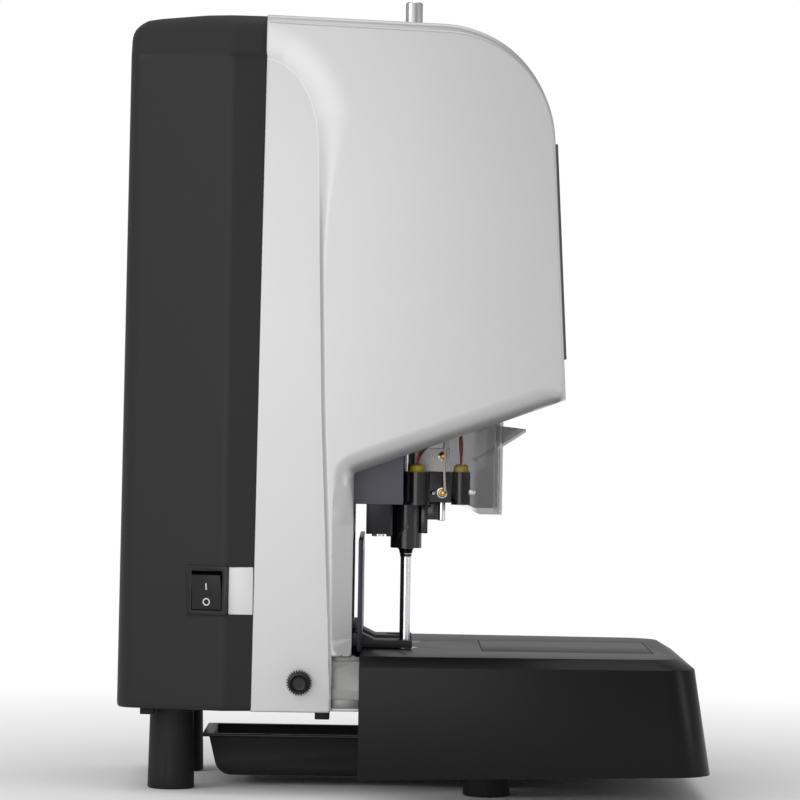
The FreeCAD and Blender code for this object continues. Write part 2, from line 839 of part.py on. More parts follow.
def rivet_feed():
    tube = rod("sleeve_tube", "z", RIVET_SPOT, MOTOR_PLATE_TOP, "sleeve_top", "sleeve_radius")
    bevelled = chamfered("sleeve_bevelled", tube, at_height(size("sleeve_top")), "sleeve_chamfer")
    bore = rod("sleeve_bore_cut", "z", RIVET_SPOT, "motor_plate_bottom", "sleeve_top + overrun", "sleeve_bore")
    mouth = rod("sleeve_mouth_cut", "z", RIVET_SPOT, "sleeve_top - sleeve_mouth_depth", "sleeve_top + overrun",
                "sleeve_mouth")
    keep("inlet_sleeve", cut("inlet_sleeve", bevelled, [bore, mouth]))
    pipe = rod("feed_pipe", "z", RIVET_SPOT, "block_top - block_seat", "feed_top", "feed_radius")
    pipe_bore = rod("feed_pipe_bore", "z", RIVET_SPOT, "block_bottom", "feed_top + overrun", "feed_bore")
    keep("feed_tube", cut("feed_tube", pipe, [pipe_bore]))


def carriage_block(name, side, low, high):
    """The sliding block of one unit with its rod and screw bores."""
    block = box(name + "_block", (f"{side} * station_x - unit_half", f"{side} * station_x + unit_half"),
                ("unit_front", "unit_rear"), (low, high))
    bores = [
        rod(f"{name}_bore_{way}", "z", (f"{side} * station_x + {way} * rod_spread", "guide_y"), f"{low} - overrun",
            f"{high} + overrun", "rod_radius + bore_gap")
        for way in ("-1", "0", "1")
    ]
    return block, bores


def rivet_unit():
    block, bores = carriage_block("rivet", "-1", "block_bottom + running_gap", "rivet_arm_top")
    arm = box("rivet_arm", ("-station_x - rivet_arm_half", "-station_x + rivet_arm_half"),
              ("rivet_arm_front", "unit_front + bite"), ("rivet_arm_bottom", "rivet_arm_top"))
    feed_hole = rod("rivet_feed_hole", "z", RIVET_SPOT, "rivet_arm_bottom - overrun", "rivet_arm_top + overrun",
                    "feed_radius")
    keep("rivet_carriage", cut("rivet_carriage", fuse("rivet_blank", [block, arm]), [*bores, feed_hole]))
    heat = box("heat_block", ("-station_x - block_half", "-station_x + block_half"), ("block_front", "block_rear"),
               ("block_bottom", "block_top"))
    heat_bore = rod("heat_bore", "z", RIVET_SPOT, "block_bottom - overrun", "block_top + overrun", "feed_bore")
    heat_seat = rod("heat_seat", "z", RIVET_SPOT, "block_top - block_seat", "block_top + overrun", "feed_radius")
    keep("heater_block", cut("heater_block", heat, [heat_bore, heat_seat]))
    keep("insulator", box("insulator", ("-station_x - insulator_half", "-station_x + insulator_half"),
                          ("insulator_front", "insulator_rear"), ("block_top", "rivet_arm_bottom")))
    hub = rod("hub_body", "z", RIVET_SPOT, "hub_bottom", "block_bottom", "hub_radius")
    hub_bore = rod("hub_bore", "z", RIVET_SPOT, "hub_bottom - overrun", "needle_top", "needle_radius")
    hub_feed = rod("hub_feed", "z", RIVET_SPOT, "needle_top - overrun", "block_bottom + overrun", "needle_bore")
    screw_hole = rod("hub_screw_hole", "x", ("station_y", "hub_screw_z"), "-station_x - hub_radius - overrun",
                     "-station_x - needle_radius - wall", "hub_screw_radius")
    keep("rivet_hub", cut("rivet_hub", hub, [hub_bore, hub_feed, screw_hole]))
    stem = rod("needle_stem", "z", RIVET_SPOT, "needle_tip", "needle_top", "needle_radius")
    shoulder = cone("needle_shoulder", RIVET_SPOT, "hub_bottom - shoulder_drop", "hub_bottom", "shoulder_low_radius",
                    "shoulder_radius")
    needle_bore = rod("needle_bore_cut", "z", RIVET_SPOT, "needle_tip - overrun", "needle_top + overrun", "needle_bore")
    keep("rivet_needle", cut("rivet_needle", fuse("needle_blank", [stem, shoulder]), [needle_bore]))


HEATER_SPOTS = (
    ("-station_x - block_half - heater_side_radius", "heater_side_y", "heater_side_radius"),
    ("-station_x", "block_front - heater_front_radius", "heater_front_radius"),
)


def heaters():
    cans = []
    caps = []
    for number, (across, along, radius) in enumerate(HEATER_SPOTS):
        cans.append(rod(f"heater_can_{number}", "z", (across, along), "block_bottom - heater_drop", "block_top", radius))
        caps.append(rod(f"heater_cap_{number}", "z", (across, along), "block_top", "block_top + cap_height", "cap_radius"))
    keep("heaters", group("heaters", cans))
    keep("heater_caps", group("heater_caps", caps))
    face = "-station_x - block_half"
    upper_face = "-station_x - insulator_half"
    keep("terminal_screws", group("terminal_screws", [
        rod("terminal_low", "x", ("terminal_y", "terminal_z"), f"{face} - terminal_length", face, "terminal_radius"),
        rod("terminal_high", "x", ("terminal_y", "terminal_upper_z"), f"{upper_face} - terminal_length", upper_face,
            "terminal_small_radius"),
        rod("clamp_screw", "x", ("clamp_screw_y", "terminal_z"),
            f"{face} - clamp_screw_length", face, "clamp_screw_radius"),
    ]))


def drill_unit():
    block, bores = carriage_block("drill", "1", "drill_block_bottom", "drill_block_top")
    arm = box("drill_arm", ("station_x - drill_arm_half", "station_x + drill_arm_half"),
              ("drill_arm_front", "unit_front + bite"), ("drill_block_bottom", "drill_block_top"))
    deck = box("drill_deck", ("station_x - drill_deck_half", "station_x + drill_deck_half"),
               ("unit_rear - bite", "drill_deck_rear"), ("drill_block_bottom", "drill_deck_top"))
    quill = rod("drill_quill", "z", DRILL_SPOT, "quill_bottom", "quill_top", "quill_radius")
    spindle_bore = rod("drill_spindle_bore", "z", DRILL_SPOT, "quill_bottom - overrun", "quill_top + overrun",
                       "spindle_radius + bore_gap")
    blank = fuse("drill_blank", [block, arm, deck, quill])
    keep("drill_carriage", cut("drill_carriage", blank, [*bores, spindle_bore]))
    motor_spot = ("station_x", "drill_motor_y")
    can = rod("drill_motor_can", "z", motor_spot, "drill_deck_top", "drill_motor_top", "drill_motor_radius")
    boss = rod("drill_motor_neck", "z", motor_spot, "drill_motor_top", "drill_motor_boss_top", "drill_motor_boss")
    shaft_bore = rod("drill_motor_bore", "z", motor_spot, "drill_motor_top - drill_motor_boss",
                     "drill_motor_boss_top + overrun", "motor_shaft_radius + bore_gap")
    keep("drill_motor", cut("drill_motor", fuse("drill_motor_blank", [can, boss]), [shaft_bore]))


def pulley(name, spot, radius):
    """A flat belt pulley with a rim at each edge, below and above the belt."""
    top = "pulley_bottom + pulley_height"
    return [
        rod(name + "_crown", "z", spot, "pulley_bottom", top, radius),
        rod(name + "_low_rim", "z", spot, "pulley_bottom", "pulley_bottom + pulley_rim", f"{radius} + pulley_rim_out"),
        rod(name + "_high_rim", "z", spot, f"{top} - pulley_rim", top, f"{radius} + pulley_rim_out"),
    ]


def drill_drive():
    spindle = rod("spindle_rod", "z", DRILL_SPOT, "chuck_top - chuck_taper", "spindle_top", "spindle_radius")
    keep("drill_spindle", fuse("drill_spindle", [spindle, *pulley("spindle_pulley", DRILL_SPOT, "spindle_pulley_radius")]))
    nose = cone("chuck_nose", DRILL_SPOT, "chuck_bottom", "chuck_bottom + chuck_taper", "chuck_nose_radius",
                "chuck_radius")
    barrel = rod("chuck_barrel", "z", DRILL_SPOT, "chuck_bottom + chuck_taper", "chuck_top", "chuck_radius")
    bit_hole = rod("chuck_bit_hole", "z", DRILL_SPOT, "chuck_bottom - overrun", "bit_top", "bit_radius")
    spindle_hole = rod("chuck_spindle_hole", "z", DRILL_SPOT, "chuck_top - chuck_taper", "chuck_top + overrun",
                       "spindle_radius")
    keep("drill_chuck", cut("drill_chuck", fuse("chuck_blank", [nose, barrel]), [bit_hole, spindle_hole]))
    stem = rod("bit_stem", "z", DRILL_SPOT, "bit_tip", "bit_top", "bit_radius")
    bore = rod("bit_bore_cut", "z", DRILL_SPOT, "bit_tip - overrun", "bit_top + overrun", "bit_bore")
    keep("drill_bit", cut("drill_bit", stem, [bore]))
    motor_spot = ("station_x", "drill_motor_y")
    axle = rod("motor_axle", "z", motor_spot, "drill_motor_top - drill_motor_boss + running_gap",
               "pulley_bottom + pulley_height", "motor_shaft_radius")
    keep("motor_pulley", fuse("motor_pulley", [axle, *pulley("motor_wheel", motor_spot, "motor_pulley_radius")]))


def belt_edge(radius_front, radius_rear, low, high):
    """The solid inside one edge of the belt: two round ends and their common tangents."""
    front = FreeCAD.Vector(size("station_x"), size("station_y"), low)
    rear = FreeCAD.Vector(size("station_x"), size("drill_motor_y"), low)
    lean = math.asin((radius_rear - radius_front) / (rear.y - front.y))

    def touch_spot(centre, radius, way):
        return centre + FreeCAD.Vector(way * radius * math.cos(lean), -radius * math.sin(lean), 0)

    front_left = touch_spot(front, radius_front, -1)
    front_right = touch_spot(front, radius_front, 1)
    rear_left = touch_spot(rear, radius_rear, -1)
    rear_right = touch_spot(rear, radius_rear, 1)
    edges = [
        Part.Arc(front_left, front - FreeCAD.Vector(0, radius_front, 0), front_right).toShape(),
        Part.LineSegment(front_right, rear_right).toShape(),
        Part.Arc(rear_right, rear + FreeCAD.Vector(0, radius_rear, 0), rear_left).toShape(),
        Part.LineSegment(rear_left, front_left).toShape(),
    ]
    return Part.Face(Part.Wire(edges)).extrude(FreeCAD.Vector(0, 0, high - low))


def drill_belt():
    low = size("pulley_bottom") + size("pulley_rim") + size("running_gap")
    high = size("pulley_bottom") + size("pulley_height") - size("pulley_rim") - size("running_gap")
    inner = (size("spindle_pulley_radius") + size("bore_gap"), size("motor_pulley_radius") + size("bore_gap"))
    outer = tuple(radius + size("belt_thick") for radius in inner)
    belt = doc.addObject("Part::Feature", "drill_belt")
    belt.Shape = belt_edge(*outer, low, high).cut(belt_edge(*inner, low, high))
    keep("drill_belt", belt)


def press_foot():
    def arm(name, side, half):
        spot = f"{side} * station_x"
        plate = box(name + "_plate", (f"{spot} - {half}", f"{spot} + {half}"), ("foot_tip", "bar_foot_front + bite"),
                    ("foot_bottom", "foot_bottom + foot_thick"))
        gusset = prism(name + "_gusset", "YZ_Plane", [
            ("gusset_front", "foot_bottom + foot_thick"),
            ("gusset_rear", "foot_bottom + gusset_height"),
            ("bar_foot_front + bite", "foot_bottom + gusset_height"),
            ("bar_foot_front + bite", "foot_bottom + foot_thick"),
        ], f"{spot} - {half}", f"{spot} + {half}")
        return [plate, gusset]

    def fork(name, side, half, rear):
        spot = f"{side} * station_x"
        gap = box(name + "_gap", (f"{spot} - {half}", f"{spot} + {half}"), ("foot_tip - overrun", "station_y"),
                  ("foot_bottom - overrun", "foot_bottom + gusset_height + overrun"))
        throat = rod(name + "_throat", "z", (spot, f"{rear} - {half}"), "foot_bottom - overrun",
                     "foot_bottom + gusset_height + overrun", half)
        return [gap, throat]

    bar = box("foot_bar", ("-bar_foot_half", "bar_foot_half"), ("bar_foot_front", "bar_foot_rear"),
              ("bar_foot_bottom", "bar_foot_top"))
    arms = [*arm("rivet_foot", "-1", "rivet_foot_half"), *arm("drill_foot", "1", "drill_foot_half")]
    gaps = [*fork("rivet_fork", "-1", "rivet_fork_half", "rivet_fork_rear"),
            *fork("drill_fork", "1", "drill_fork_half", "drill_fork_rear")]
    posts = [
        rod(f"foot_post_{side}", "z", (f"{side} * post_x", "post_y"), "bar_foot_bottom", "post_top", "rod_radius")
        for side in SIDES
    ]
    keep("press_foot", cut("press_foot", fuse("foot_blank", [bar, *arms, *posts]), gaps))


def guide_blocks():
    blocks = []
    for side in SIDES:
        spot = f"{side} * post_x"
        block = box(f"post_block_{side}", (f"{spot} - post_guide_half", f"{spot} + post_guide_half"),
                    ("post_y - post_guide_half", "frame_column_front"), ("post_guide_bottom", "post_guide_top"))
        bore = rod(f"post_bore_{side}", "z", (spot, "post_y"), "post_guide_bottom - overrun",
                   "post_guide_top + overrun", "rod_radius + bore_gap")
        blocks.append(cut(f"post_guide_{side}", block, [bore]))
        rack = f"{side} * arm_x"
        yoke = box(f"rack_block_{side}", (f"{rack} - rack_guide_half", f"{rack} + rack_guide_half"),
                   ("rack_guide_front", "rack_guide_rear"),
                   (f"{TOOTH_TIPS} - running_gap - rack_guide_web", "rack_top + rack_guide_web"))
        slot = box(f"rack_slot_{side}", (f"{rack} - arm_half - bore_gap", f"{rack} + arm_half + bore_gap"),
                   ("rack_guide_front - overrun", "rack_guide_rear + overrun"),
                   (f"{TOOTH_TIPS} - running_gap", "rack_top + running_gap"))
        blocks.append(cut(f"rack_guide_{side}", yoke, [slot]))
    keep("guide_blocks", group("guide_blocks", blocks))


def tooth_shape(half_root, half_tip, root, tip):
    """One tooth with straight flanks, pointing up from its root line."""
    return [(-half_root, root), (-half_tip, tip), (half_tip, tip), (half_root, root)]


def fence_parts():
    module = size("tooth_module")
    pitch = math.pi * module
    pitch_line = size("margin_z") + TOOTH_COUNT * module / 2
    slope = math.tan(math.radians(PRESSURE_ANGLE))
    half = pitch / 4 - size("backlash") / 2
    plate = box("fence_sheet", ("-fence_half", "fence_half"), ("fence_front", FENCE_REAR),
                ("table_top + fence_lift", "fence_top"))
    slots = []
    for side, reach in zip(SIDES, ("rivet_foot_half", "drill_foot_half")):
        spot = f"{side} * station_x"
        slots.append(box(f"fence_slot_{side}", (f"{spot} - {reach} - slot_side_gap", f"{spot} + {reach} + slot_side_gap"),
                         ("fence_front - overrun", FENCE_REAR + " + overrun"), ("table_top - overrun", "slot_top")))
    arms = []
    for side in SIDES:
        spot = f"{side} * arm_x"
        arms.append(prism(f"fence_arm_{'left' if side == '-1' else 'right'}", "YZ_Plane", [
            (FENCE_REAR + " - bite", "arm_bottom"),
            (FENCE_REAR + " - bite", "arm_top"),
            ("arm_drop_rear", "arm_top"),
            ("arm_drop_rear", "rack_top"),
            ("rack_rear", "rack_top"),
            ("rack_rear", TOOTH_ROOTS),
            ("arm_drop_front", TOOTH_ROOTS),
            ("arm_drop_front", "arm_bottom"),
        ], f"{spot} - arm_half", f"{spot} + arm_half"))
    blank = cut("fence_blank", fuse("fence_whole", [plate, *arms]), slots)
    teeth = []
    first = math.ceil((size("arm_drop_rear") - size("margin_y")) / pitch)
    last = math.floor((size("rack_rear") - size("margin_y")) / pitch) - 1
    deep = ROOT_SHARE * module + size("bite")
    points = tooth_shape(half + deep * slope, half - module * slope, deep, -module)
    for side in (-1, 1):
        left = side * size("arm_x") - size("arm_half")
        for number in range(first, last + 1):
            middle = size("margin_y") + number * pitch
            corners = [FreeCAD.Vector(left, middle + along, pitch_line + up) for along, up in points]
            face = Part.Face(Part.makePolygon([*corners, corners[0]]))
            teeth.append(face.extrude(FreeCAD.Vector(2 * size("arm_half"), 0, 0)))
    doc.recompute()
    fence = doc.addObject("Part::Feature", "fence")
    fence.Shape = blank.Shape.fuse(teeth).removeSplitter()
    keep("fence", fence)


def pinion_shape(left, right):
    """A pinion on the margin shaft, with a gap between teeth straight above the shaft."""
    module = size("tooth_module")
    pitch_radius = TOOTH_COUNT * module / 2
    tip = pitch_radius + module
    root = pitch_radius - ROOT_SHARE * module
    half = math.pi * module / 4 - size("backlash") / 2
    slope = math.tan(math.radians(PRESSURE_ANGLE))
    corners = []
    for number in range(TOOTH_COUNT):
        middle = (number + 0.5) * 2 * math.pi / TOOTH_COUNT
        for radius, way in ((root, -1), (pitch_radius, -1), (tip, -1), (tip, 1), (pitch_radius, 1), (root, 1)):
            width = half - (radius - pitch_radius) * slope
            angle = middle + way * width / radius
            corners.append(FreeCAD.Vector(left, radius * math.sin(angle), radius * math.cos(angle)))
    face = Part.Face(Part.makePolygon([*corners, corners[0]]))
    wheel = face.extrude(FreeCAD.Vector(right - left, 0, 0))
    wheel.translate(FreeCAD.Vector(0, size("margin_y"), size("margin_z")))
    return wheel


def margin_drive():
    spot = ("margin_y", "margin_z")
    bar = rod("margin_bar", "x", spot, "-head_half", "shaft_end", "shaft_radius")
    doc.recompute()
    shape = bar.Shape
    for side in (-1, 1):
        middle = side * size("arm_x")
        shape = shape.fuse(pinion_shape(middle - size("pinion_half"), middle + size("pinion_half")))
    shaft = doc.addObject("Part::Feature", "margin_shaft")
    shaft.Shape = shape
    keep("margin_shaft", shaft)
    seat = "-head_half + strip_recess - knob_standoff"
    skirt = rod("knob_skirt_disc", "x", spot, f"{seat} - knob_skirt", seat, "knob_radius")
    cap = rod("knob_cap_disc", "x", spot, f"{seat} - knob_skirt - knob_cap", f"{seat} - knob_skirt + bite",
              "knob_cap_radius")
    bore = rod("knob_bore", "x", spot, "-head_half", seat, "shaft_radius")
    doc.recompute()
    flutes = []
    for number in range(KNOB_FLUTES):
        angle = 2 * math.pi * number / KNOB_FLUTES
        flute = Part.makeCylinder(size("knob_flute_radius"), size("knob_skirt") + size("bite"),
                                  FreeCAD.Vector(skirt.Shape.BoundBox.XMin,
                                                 size("margin_y") + size("knob_radius") * math.cos(angle),
                                                 size("margin_z") + size("knob_radius") * math.sin(angle)),
                                  FreeCAD.Vector(1, 0, 0))
        flutes.append(flute)
    knob = doc.addObject("Part::Feature", "margin_knob")
    knob.Shape = skirt.Shape.fuse(cap.Shape).cut(bore.Shape).cut(Part.makeCompound(flutes))
    keep("margin_knob", knob)


def tray():
    def profile(inset):
        top = "tray_rim" if inset == ZERO else "tray_rim + overrun"
        return [
            (f"tray_front + {inset}", f"tray_floor + {inset}"),
            (f"tray_rear_floor - {inset}", f"tray_floor + {inset}"),
            (f"tray_rear - tray_rim_width - {inset}", top),
            (f"tray_front + {inset}", top),
        ]

    body_half = "tray_half - tray_rim_width"
    tub = prism("tray_tub", "YZ_Plane", profile(ZERO), f"-({body_half})", body_half,
                [((0,), "tray_round"), ((1,), "tray_rear_round")])
    room = prism("tray_room", "YZ_Plane", profile("tray_wall"), f"-({body_half}) + tray_wall",
                 f"{body_half} - tray_wall",
                 [((0,), "tray_round - tray_wall"), ((1,), "tray_rear_round - tray_wall")])
    rim = box("tray_rim_plate", ("-tray_half", "tray_half"), ("tray_front - tray_rim_width", "tray_rear"),
              ("tray_rim - tray_rim_thick", "tray_rim"))
    keep("tray", cut("tray", fuse("tray_blank", [tub, rim]), [room]))


def tray_hanger():
    plate = box("hanger_plate", ("-hanger_half", "hanger_half"), ("hanger_front", "hanger_rear"),
                ("hanger_bottom", "hanger_top"))
    lip_top = "tray_rim - tray_rim_thick - running_gap"
    pieces = [plate]
    for side in SIDES:
        wall_middle = f"{side} * (hanger_half - runner_thick / 2)"
        lip_middle = f"{side} * (hanger_half - runner_lip / 2)"
        pieces.append(box(f"hanger_wall_{side}", (f"{wall_middle} - runner_thick / 2", f"{wall_middle} + runner_thick / 2"),
                          ("hanger_front", "runner_rear"), (f"{lip_top} - runner_thick", "hanger_top")))
        pieces.append(box(f"hanger_lip_{side}", (f"{lip_middle} - runner_lip / 2", f"{lip_middle} + runner_lip / 2"),
                          ("hanger_front", "runner_rear"), (f"{lip_top} - runner_thick", lip_top)))
        for post in ("hanger_post_front", "hanger_post_rear"):
            middle = f"{side} * (hanger_half - hanger_post_half)"
            pieces.append(box(f"{post}_{side}", (f"{middle} - hanger_post_half", f"{middle} + hanger_post_half"),
                              (f"{post} - hanger_post_half", f"{post} + hanger_post_half"),
                              ("hanger_bottom", "body_bottom")))
    keep("tray_hanger", fuse("tray_hanger", pieces))


def legs():
    keep("legs", group("legs", [
        cone(f"{row}_leg_{side}", (f"{side} * {row}_leg_x", f"{row}_leg_y"), ZERO, "body_bottom", "leg_foot_radius",
             "leg_radius")
        for row in ("front", "rear") for side in SIDES
    ]))


REAR_TAPER = "(rear_half_wide - rear_half_back) / (rear_back_low - rear_wide_y)"


def seam_at(level):
    """Where the slanting seam with the silver housing lies at some height."""
    share = (level - size("body_bottom")) / (size("body_top") - size("body_bottom"))
    return size("seam_low") + (size("seam_high") - size("seam_low")) * share + size("bore_gap")


def rear_section(inset, back, seam):
    """The rear cover's plan at one level: seam, widest corner and back corner on each side."""
    wide = size("rear_wide_y")
    half = [(size(f"rear_half_{spot}") - inset, along) for spot, along in (("seam", seam), ("wide", wide), ("back", back))]
    return half + [(-across, along) for across, along in reversed(half)]


def on_facet(thing, depth, tilt):
    """Seat a piece on the slanted left side of the rear cover, so much below its face."""
    taper = (size("rear_half_wide") - size("rear_half_back")) / (size("rear_back_low") - size("rear_wide_y"))
    face = size("rear_half_wide") - (size("switch_y") - size("rear_wide_y")) * taper
    spot = FreeCAD.Vector(-face, size("switch_y"), size("switch_z"))
    turn = FreeCAD.Rotation(FreeCAD.Vector(0, 0, 1), -math.degrees(math.atan(taper)))
    lean = FreeCAD.Placement(FreeCAD.Vector(depth, 0, 0), FreeCAD.Rotation(FreeCAD.Vector(0, 1, 0), tilt))
    thing.Placement = FreeCAD.Placement(spot, turn).multiply(lean)
    return thing


def rear_cover():
    wall = size("wall")
    radius = size("rear_corner_round")
    low, bevel, top = size("body_bottom"), size("rear_bevel_low"), size("body_top")
    back_low, back_high = size("rear_back_low"), size("rear_back_high")
    back_top = back_high - size("rear_top_round")
    shrink = size("rear_bevel_in")
    outer = loft("rear_outer", [
        (low, rear_section(0, back_low, seam_at(low))),
        (bevel, rear_section(0, back_high, seam_at(bevel))),
        (top, rear_section(shrink, back_top, seam_at(top))),
    ], {2: radius, 3: radius})
    open_seam = size("seam_high") - size("overrun")
    inner = loft("rear_inner", [
        (low - size("overrun"), rear_section(wall, back_low - wall, open_seam)),
        (bevel, rear_section(wall, back_high - wall, open_seam)),
        (top - wall, rear_section(wall + shrink, back_top - wall, open_seam)),
    ], {2: radius - wall, 3: radius - wall})
    switch_cutter = box("rear_switch_cutter", ("-overrun", "overrun"), ("-switch_body_half_width", "switch_body_half_width"),
                        ("-switch_body_half_height", "switch_body_half_height"))
    switch_hole = on_facet(group("rear_switch_hole", [switch_cutter]), 0, 0)
    inlet_hole = box("rear_inlet_hole",
                     ("inlet_x - inlet_body_half_width - bore_gap", "inlet_x + inlet_body_half_width + bore_gap"),
                     ("rear_back_high - wall * 2", "rear_back_low + overrun"),
                     ("inlet_z - inlet_body_half_height - bore_gap", "inlet_z + inlet_body_half_height + bore_gap"))
    vents = [
        box(f"rear_vent_{number}", ("-vent_half", "vent_half"), ("rear_back_high - wall * 2", "rear_back_low + overrun"),
            (f"vent_low + {number} * vent_pitch", f"vent_low + {number} * vent_pitch + vent_height"))
        for number in range(VENT_COUNT)
    ]
    recess = tab_shape("rear_tab_recess", "tab_sunk + bore_gap", "tab_proud + overrun", "bore_gap")
    shell = cut("rear_shell", outer, [inner, switch_hole, inlet_hole, recess, *vents])
    keep("rear_cover", shell)


def tab_shape(name, sunk, proud, gap):
    """The tab that reaches back from the silver side, over the rear cover's face."""
    reach = "rear_half_seam + (rear_half_wide - rear_half_seam) * (tab_reach - seam_low) / (rear_wide_y - seam_low)"
    return prism(name, "XY_Plane", [
        (f"-(rear_half_seam - ({sunk}))", "seam_high - wall"),
        (f"-(rear_half_seam + ({proud}))", "seam_high - wall"),
        (f"-(rear_half_seam + ({proud}))", "seam_low"),
        (f"-({reach} + ({proud}))", f"tab_reach + {gap}"),
        (f"-({reach} - ({sunk}))", f"tab_reach + {gap}"),
        (f"-(rear_half_seam - ({sunk}))", "seam_low"),
    ], f"tab_low - {gap}", f"tab_high + {gap}")


def jaw_line(along, lift):
    """The height of the head's sloping underside, raised by some lift."""
    share = f"({along} - head_nose) / (column_front - head_nose)"
    return f"head_nose_bottom + (head_jaw_bottom - head_nose_bottom) * {share} + {lift}"


def housings():
    outer = prism("side_outer", "YZ_Plane", [
        ("seam_low", "strip_bottom"),
        ("seam_high", "head_rear_top"),
        ("head_nose_top", "head_front_top"),
        ("head_nose", "head_nose_bottom"),
        ("column_front", "head_jaw_bottom"),
        ("column_front", "band_bottom"),
        ("strip_front", "band_bottom"),
        ("strip_front", "strip_bottom"),
    ], "-head_half", "-" + JAW_RIM_HALF, [((2,), "head_round"), ((3,), "chin_round")])
    top_middle = FreeCAD.Vector(-size("head_half"), 0, 0)
    feature = outer.Tip
    face_edges = [edge for edge in feature.Shape.Edges if on_plane(edge, top_middle.x)]
    top_edge = max(face_edges, key=lambda edge: edge.CenterOfMass.z)
    rounded(outer, "side_edge_round", feature, [lambda edge: edge.isSame(top_edge)], "edge_round")
    strip = prism("side_strip", "YZ_Plane", [
        ("seam_low + overrun", "strip_bottom - overrun"),
        ("seam_high + overrun", "fold_top"),
        ("fold_high", "fold_top"),
        ("fold_mid", "fold_mid_z"),
        ("fold_low", "strip_bottom - overrun"),
    ], "-head_half - overrun", "-head_half + strip_recess", [((2,), "fold_round")])
    room = prism("side_room", "YZ_Plane", [
        ("seam_low + overrun", "strip_bottom - overrun"),
        ("seam_high + overrun", "head_rear_top - wall"),
        ("head_nose_top + wall", "head_front_top - wall"),
        ("head_nose + wall", "head_nose_bottom + wall"),
        ("column_front + wall", "head_jaw_bottom + wall"),
        ("column_front + wall", "band_bottom + wall"),
        ("strip_front + wall", "band_bottom + wall"),
        ("strip_front + wall", "strip_bottom - overrun"),
    ], "-head_half + strip_recess + wall", "-rim_half", [((2,), "head_round - wall"), ((3,), "chin_round - wall")])
    bulge = prism("side_bulge", "YZ_Plane", [
        ("fold_high - strip_recess - wall", "head_rear_top - edge_round * 2"),
        ("head_nose_top + edge_round * 2", "head_front_top - edge_round * 2"),
        ("head_nose + edge_round * 2", "head_nose_bottom + edge_round * 2"),
        ("column_front + edge_round * 2", "head_jaw_bottom + edge_round * 2"),
        ("column_front + edge_round * 2", "fold_mid_z / 2"),
        ("fold_high - strip_recess - wall", "fold_mid_z"),
    ], "-head_half + wall", "-rim_half", [((1,), "head_round - edge_round * 2")])
    chin_end = "fascia_nose + fascia_chin"
    mouth = prism("side_mouth", "YZ_Plane", [
        ("seam_low + overrun", "strip_bottom - overrun"),
        ("seam_high + overrun", "fascia_rear_top + overrun"),
        ("head_nose - overrun", "fascia_rear_top + overrun"),
        ("head_nose - overrun", "head_jaw_bottom"),
        (chin_end, "head_jaw_bottom"),
        (chin_end, jaw_line(chin_end, "wall")),
        ("column_front + wall", "head_jaw_bottom + wall"),
        ("column_front + wall", "band_bottom"),
        ("column_front", "band_bottom"),
        ("column_front", "strip_bottom - overrun"),
    ], "-rim_half - running_gap", "-" + JAW_RIM_HALF + " + overrun")
    shaft_hole = rod("side_shaft_hole", "x", ("margin_y", "margin_z"), "-head_half - overrun", "-rim_half",
                     "shaft_radius + running_gap")
    shell = cut("side_shell", outer, [strip, room, bulge, mouth])
    keep("housing_right", mirrored("housing_right", shell))
    tab = tab_shape("side_tab", "tab_sunk", "tab_proud", ZERO)
    keep("housing_left", cut("housing_left", fuse("side_with_tab", [shell, tab]), [shaft_hole]))


def on_plane(edge, across):
    return abs(edge.BoundBox.XMin - across) < TOLERANCE and abs(edge.BoundBox.XMax - across) < TOLERANCE


def fascia_line(level, proud):
    """How far forward the fascia's front stands at some height."""
    share = f"({level} - fascia_nose_bottom) / (fascia_front_top - fascia_nose_bottom)"
    return f"fascia_nose + (fascia_corner - fascia_nose) * {share} - ({proud})"


KEY_NODES = ("start_key", "stop_key", "up_key", "down_key")


def key_spot(number):
    return (f"key_pitch * ({number} - {(len(KEY_NODES) - 1) / 2})", "key_z")


def fascia():
    def profile(inset, reach):
        return [
            (f"seam_high + {reach}", f"fascia_rear_top - {inset}"),
            (f"fascia_corner + {inset}", f"fascia_front_top - {inset}"),
            (f"fascia_nose + {inset}", f"fascia_nose_bottom + {inset}"),
            (f"fascia_nose + fascia_chin + {reach}", f"fascia_nose_bottom - fascia_chin_rise + {inset}"),
            (f"fascia_nose + fascia_chin + {reach}", f"fascia_nose_bottom + fascia_return - {reach}"),
            (f"seam_high + {reach}", f"fascia_nose_bottom + fascia_return - {reach}"),
        ]

    def band(name, inset, reach, half):
        body = prism(name, "YZ_Plane", profile(inset, reach), f"-({half})", half, [((1,), f"fascia_round - {inset}")])
        return body

    outer = band("fascia_outer", ZERO, ZERO, "rim_half")
    feature = outer.Tip
    for number, side in enumerate((-1, 1)):
        face_edges = [edge for edge in feature.Shape.Edges if on_plane(edge, side * size("rim_half"))]
        top_edge = max(face_edges, key=lambda edge: edge.CenterOfMass.z)
        feature = rounded(outer, f"fascia_edge_round_{number}", feature, [lambda edge: edge.isSame(top_edge)],
                          "fascia_edge_round")
    inner = band("fascia_inner", "wall", "overrun * 2", "rim_half - wall")
    core = band("fascia_core", "fascia_return", "overrun * 4", "rim_half + overrun")
    sleeve_hole = rod("fascia_sleeve_hole", "z", RIVET_SPOT, "motor_plate_bottom", "sleeve_top", "sleeve_radius")
    key_holes = [
        rod(f"fascia_key_hole_{number}", "y", key_spot(number), "fascia_nose - overrun * 2", "fascia_corner + overrun",
            "key_radius + key_gap")
        for number in range(len(KEY_NODES))
    ]
    well = panel_shape("fascia_panel_well", ZERO)
    keep("fascia", cut("fascia", outer, [inner, core, sleeve_hole, well, *key_holes]))


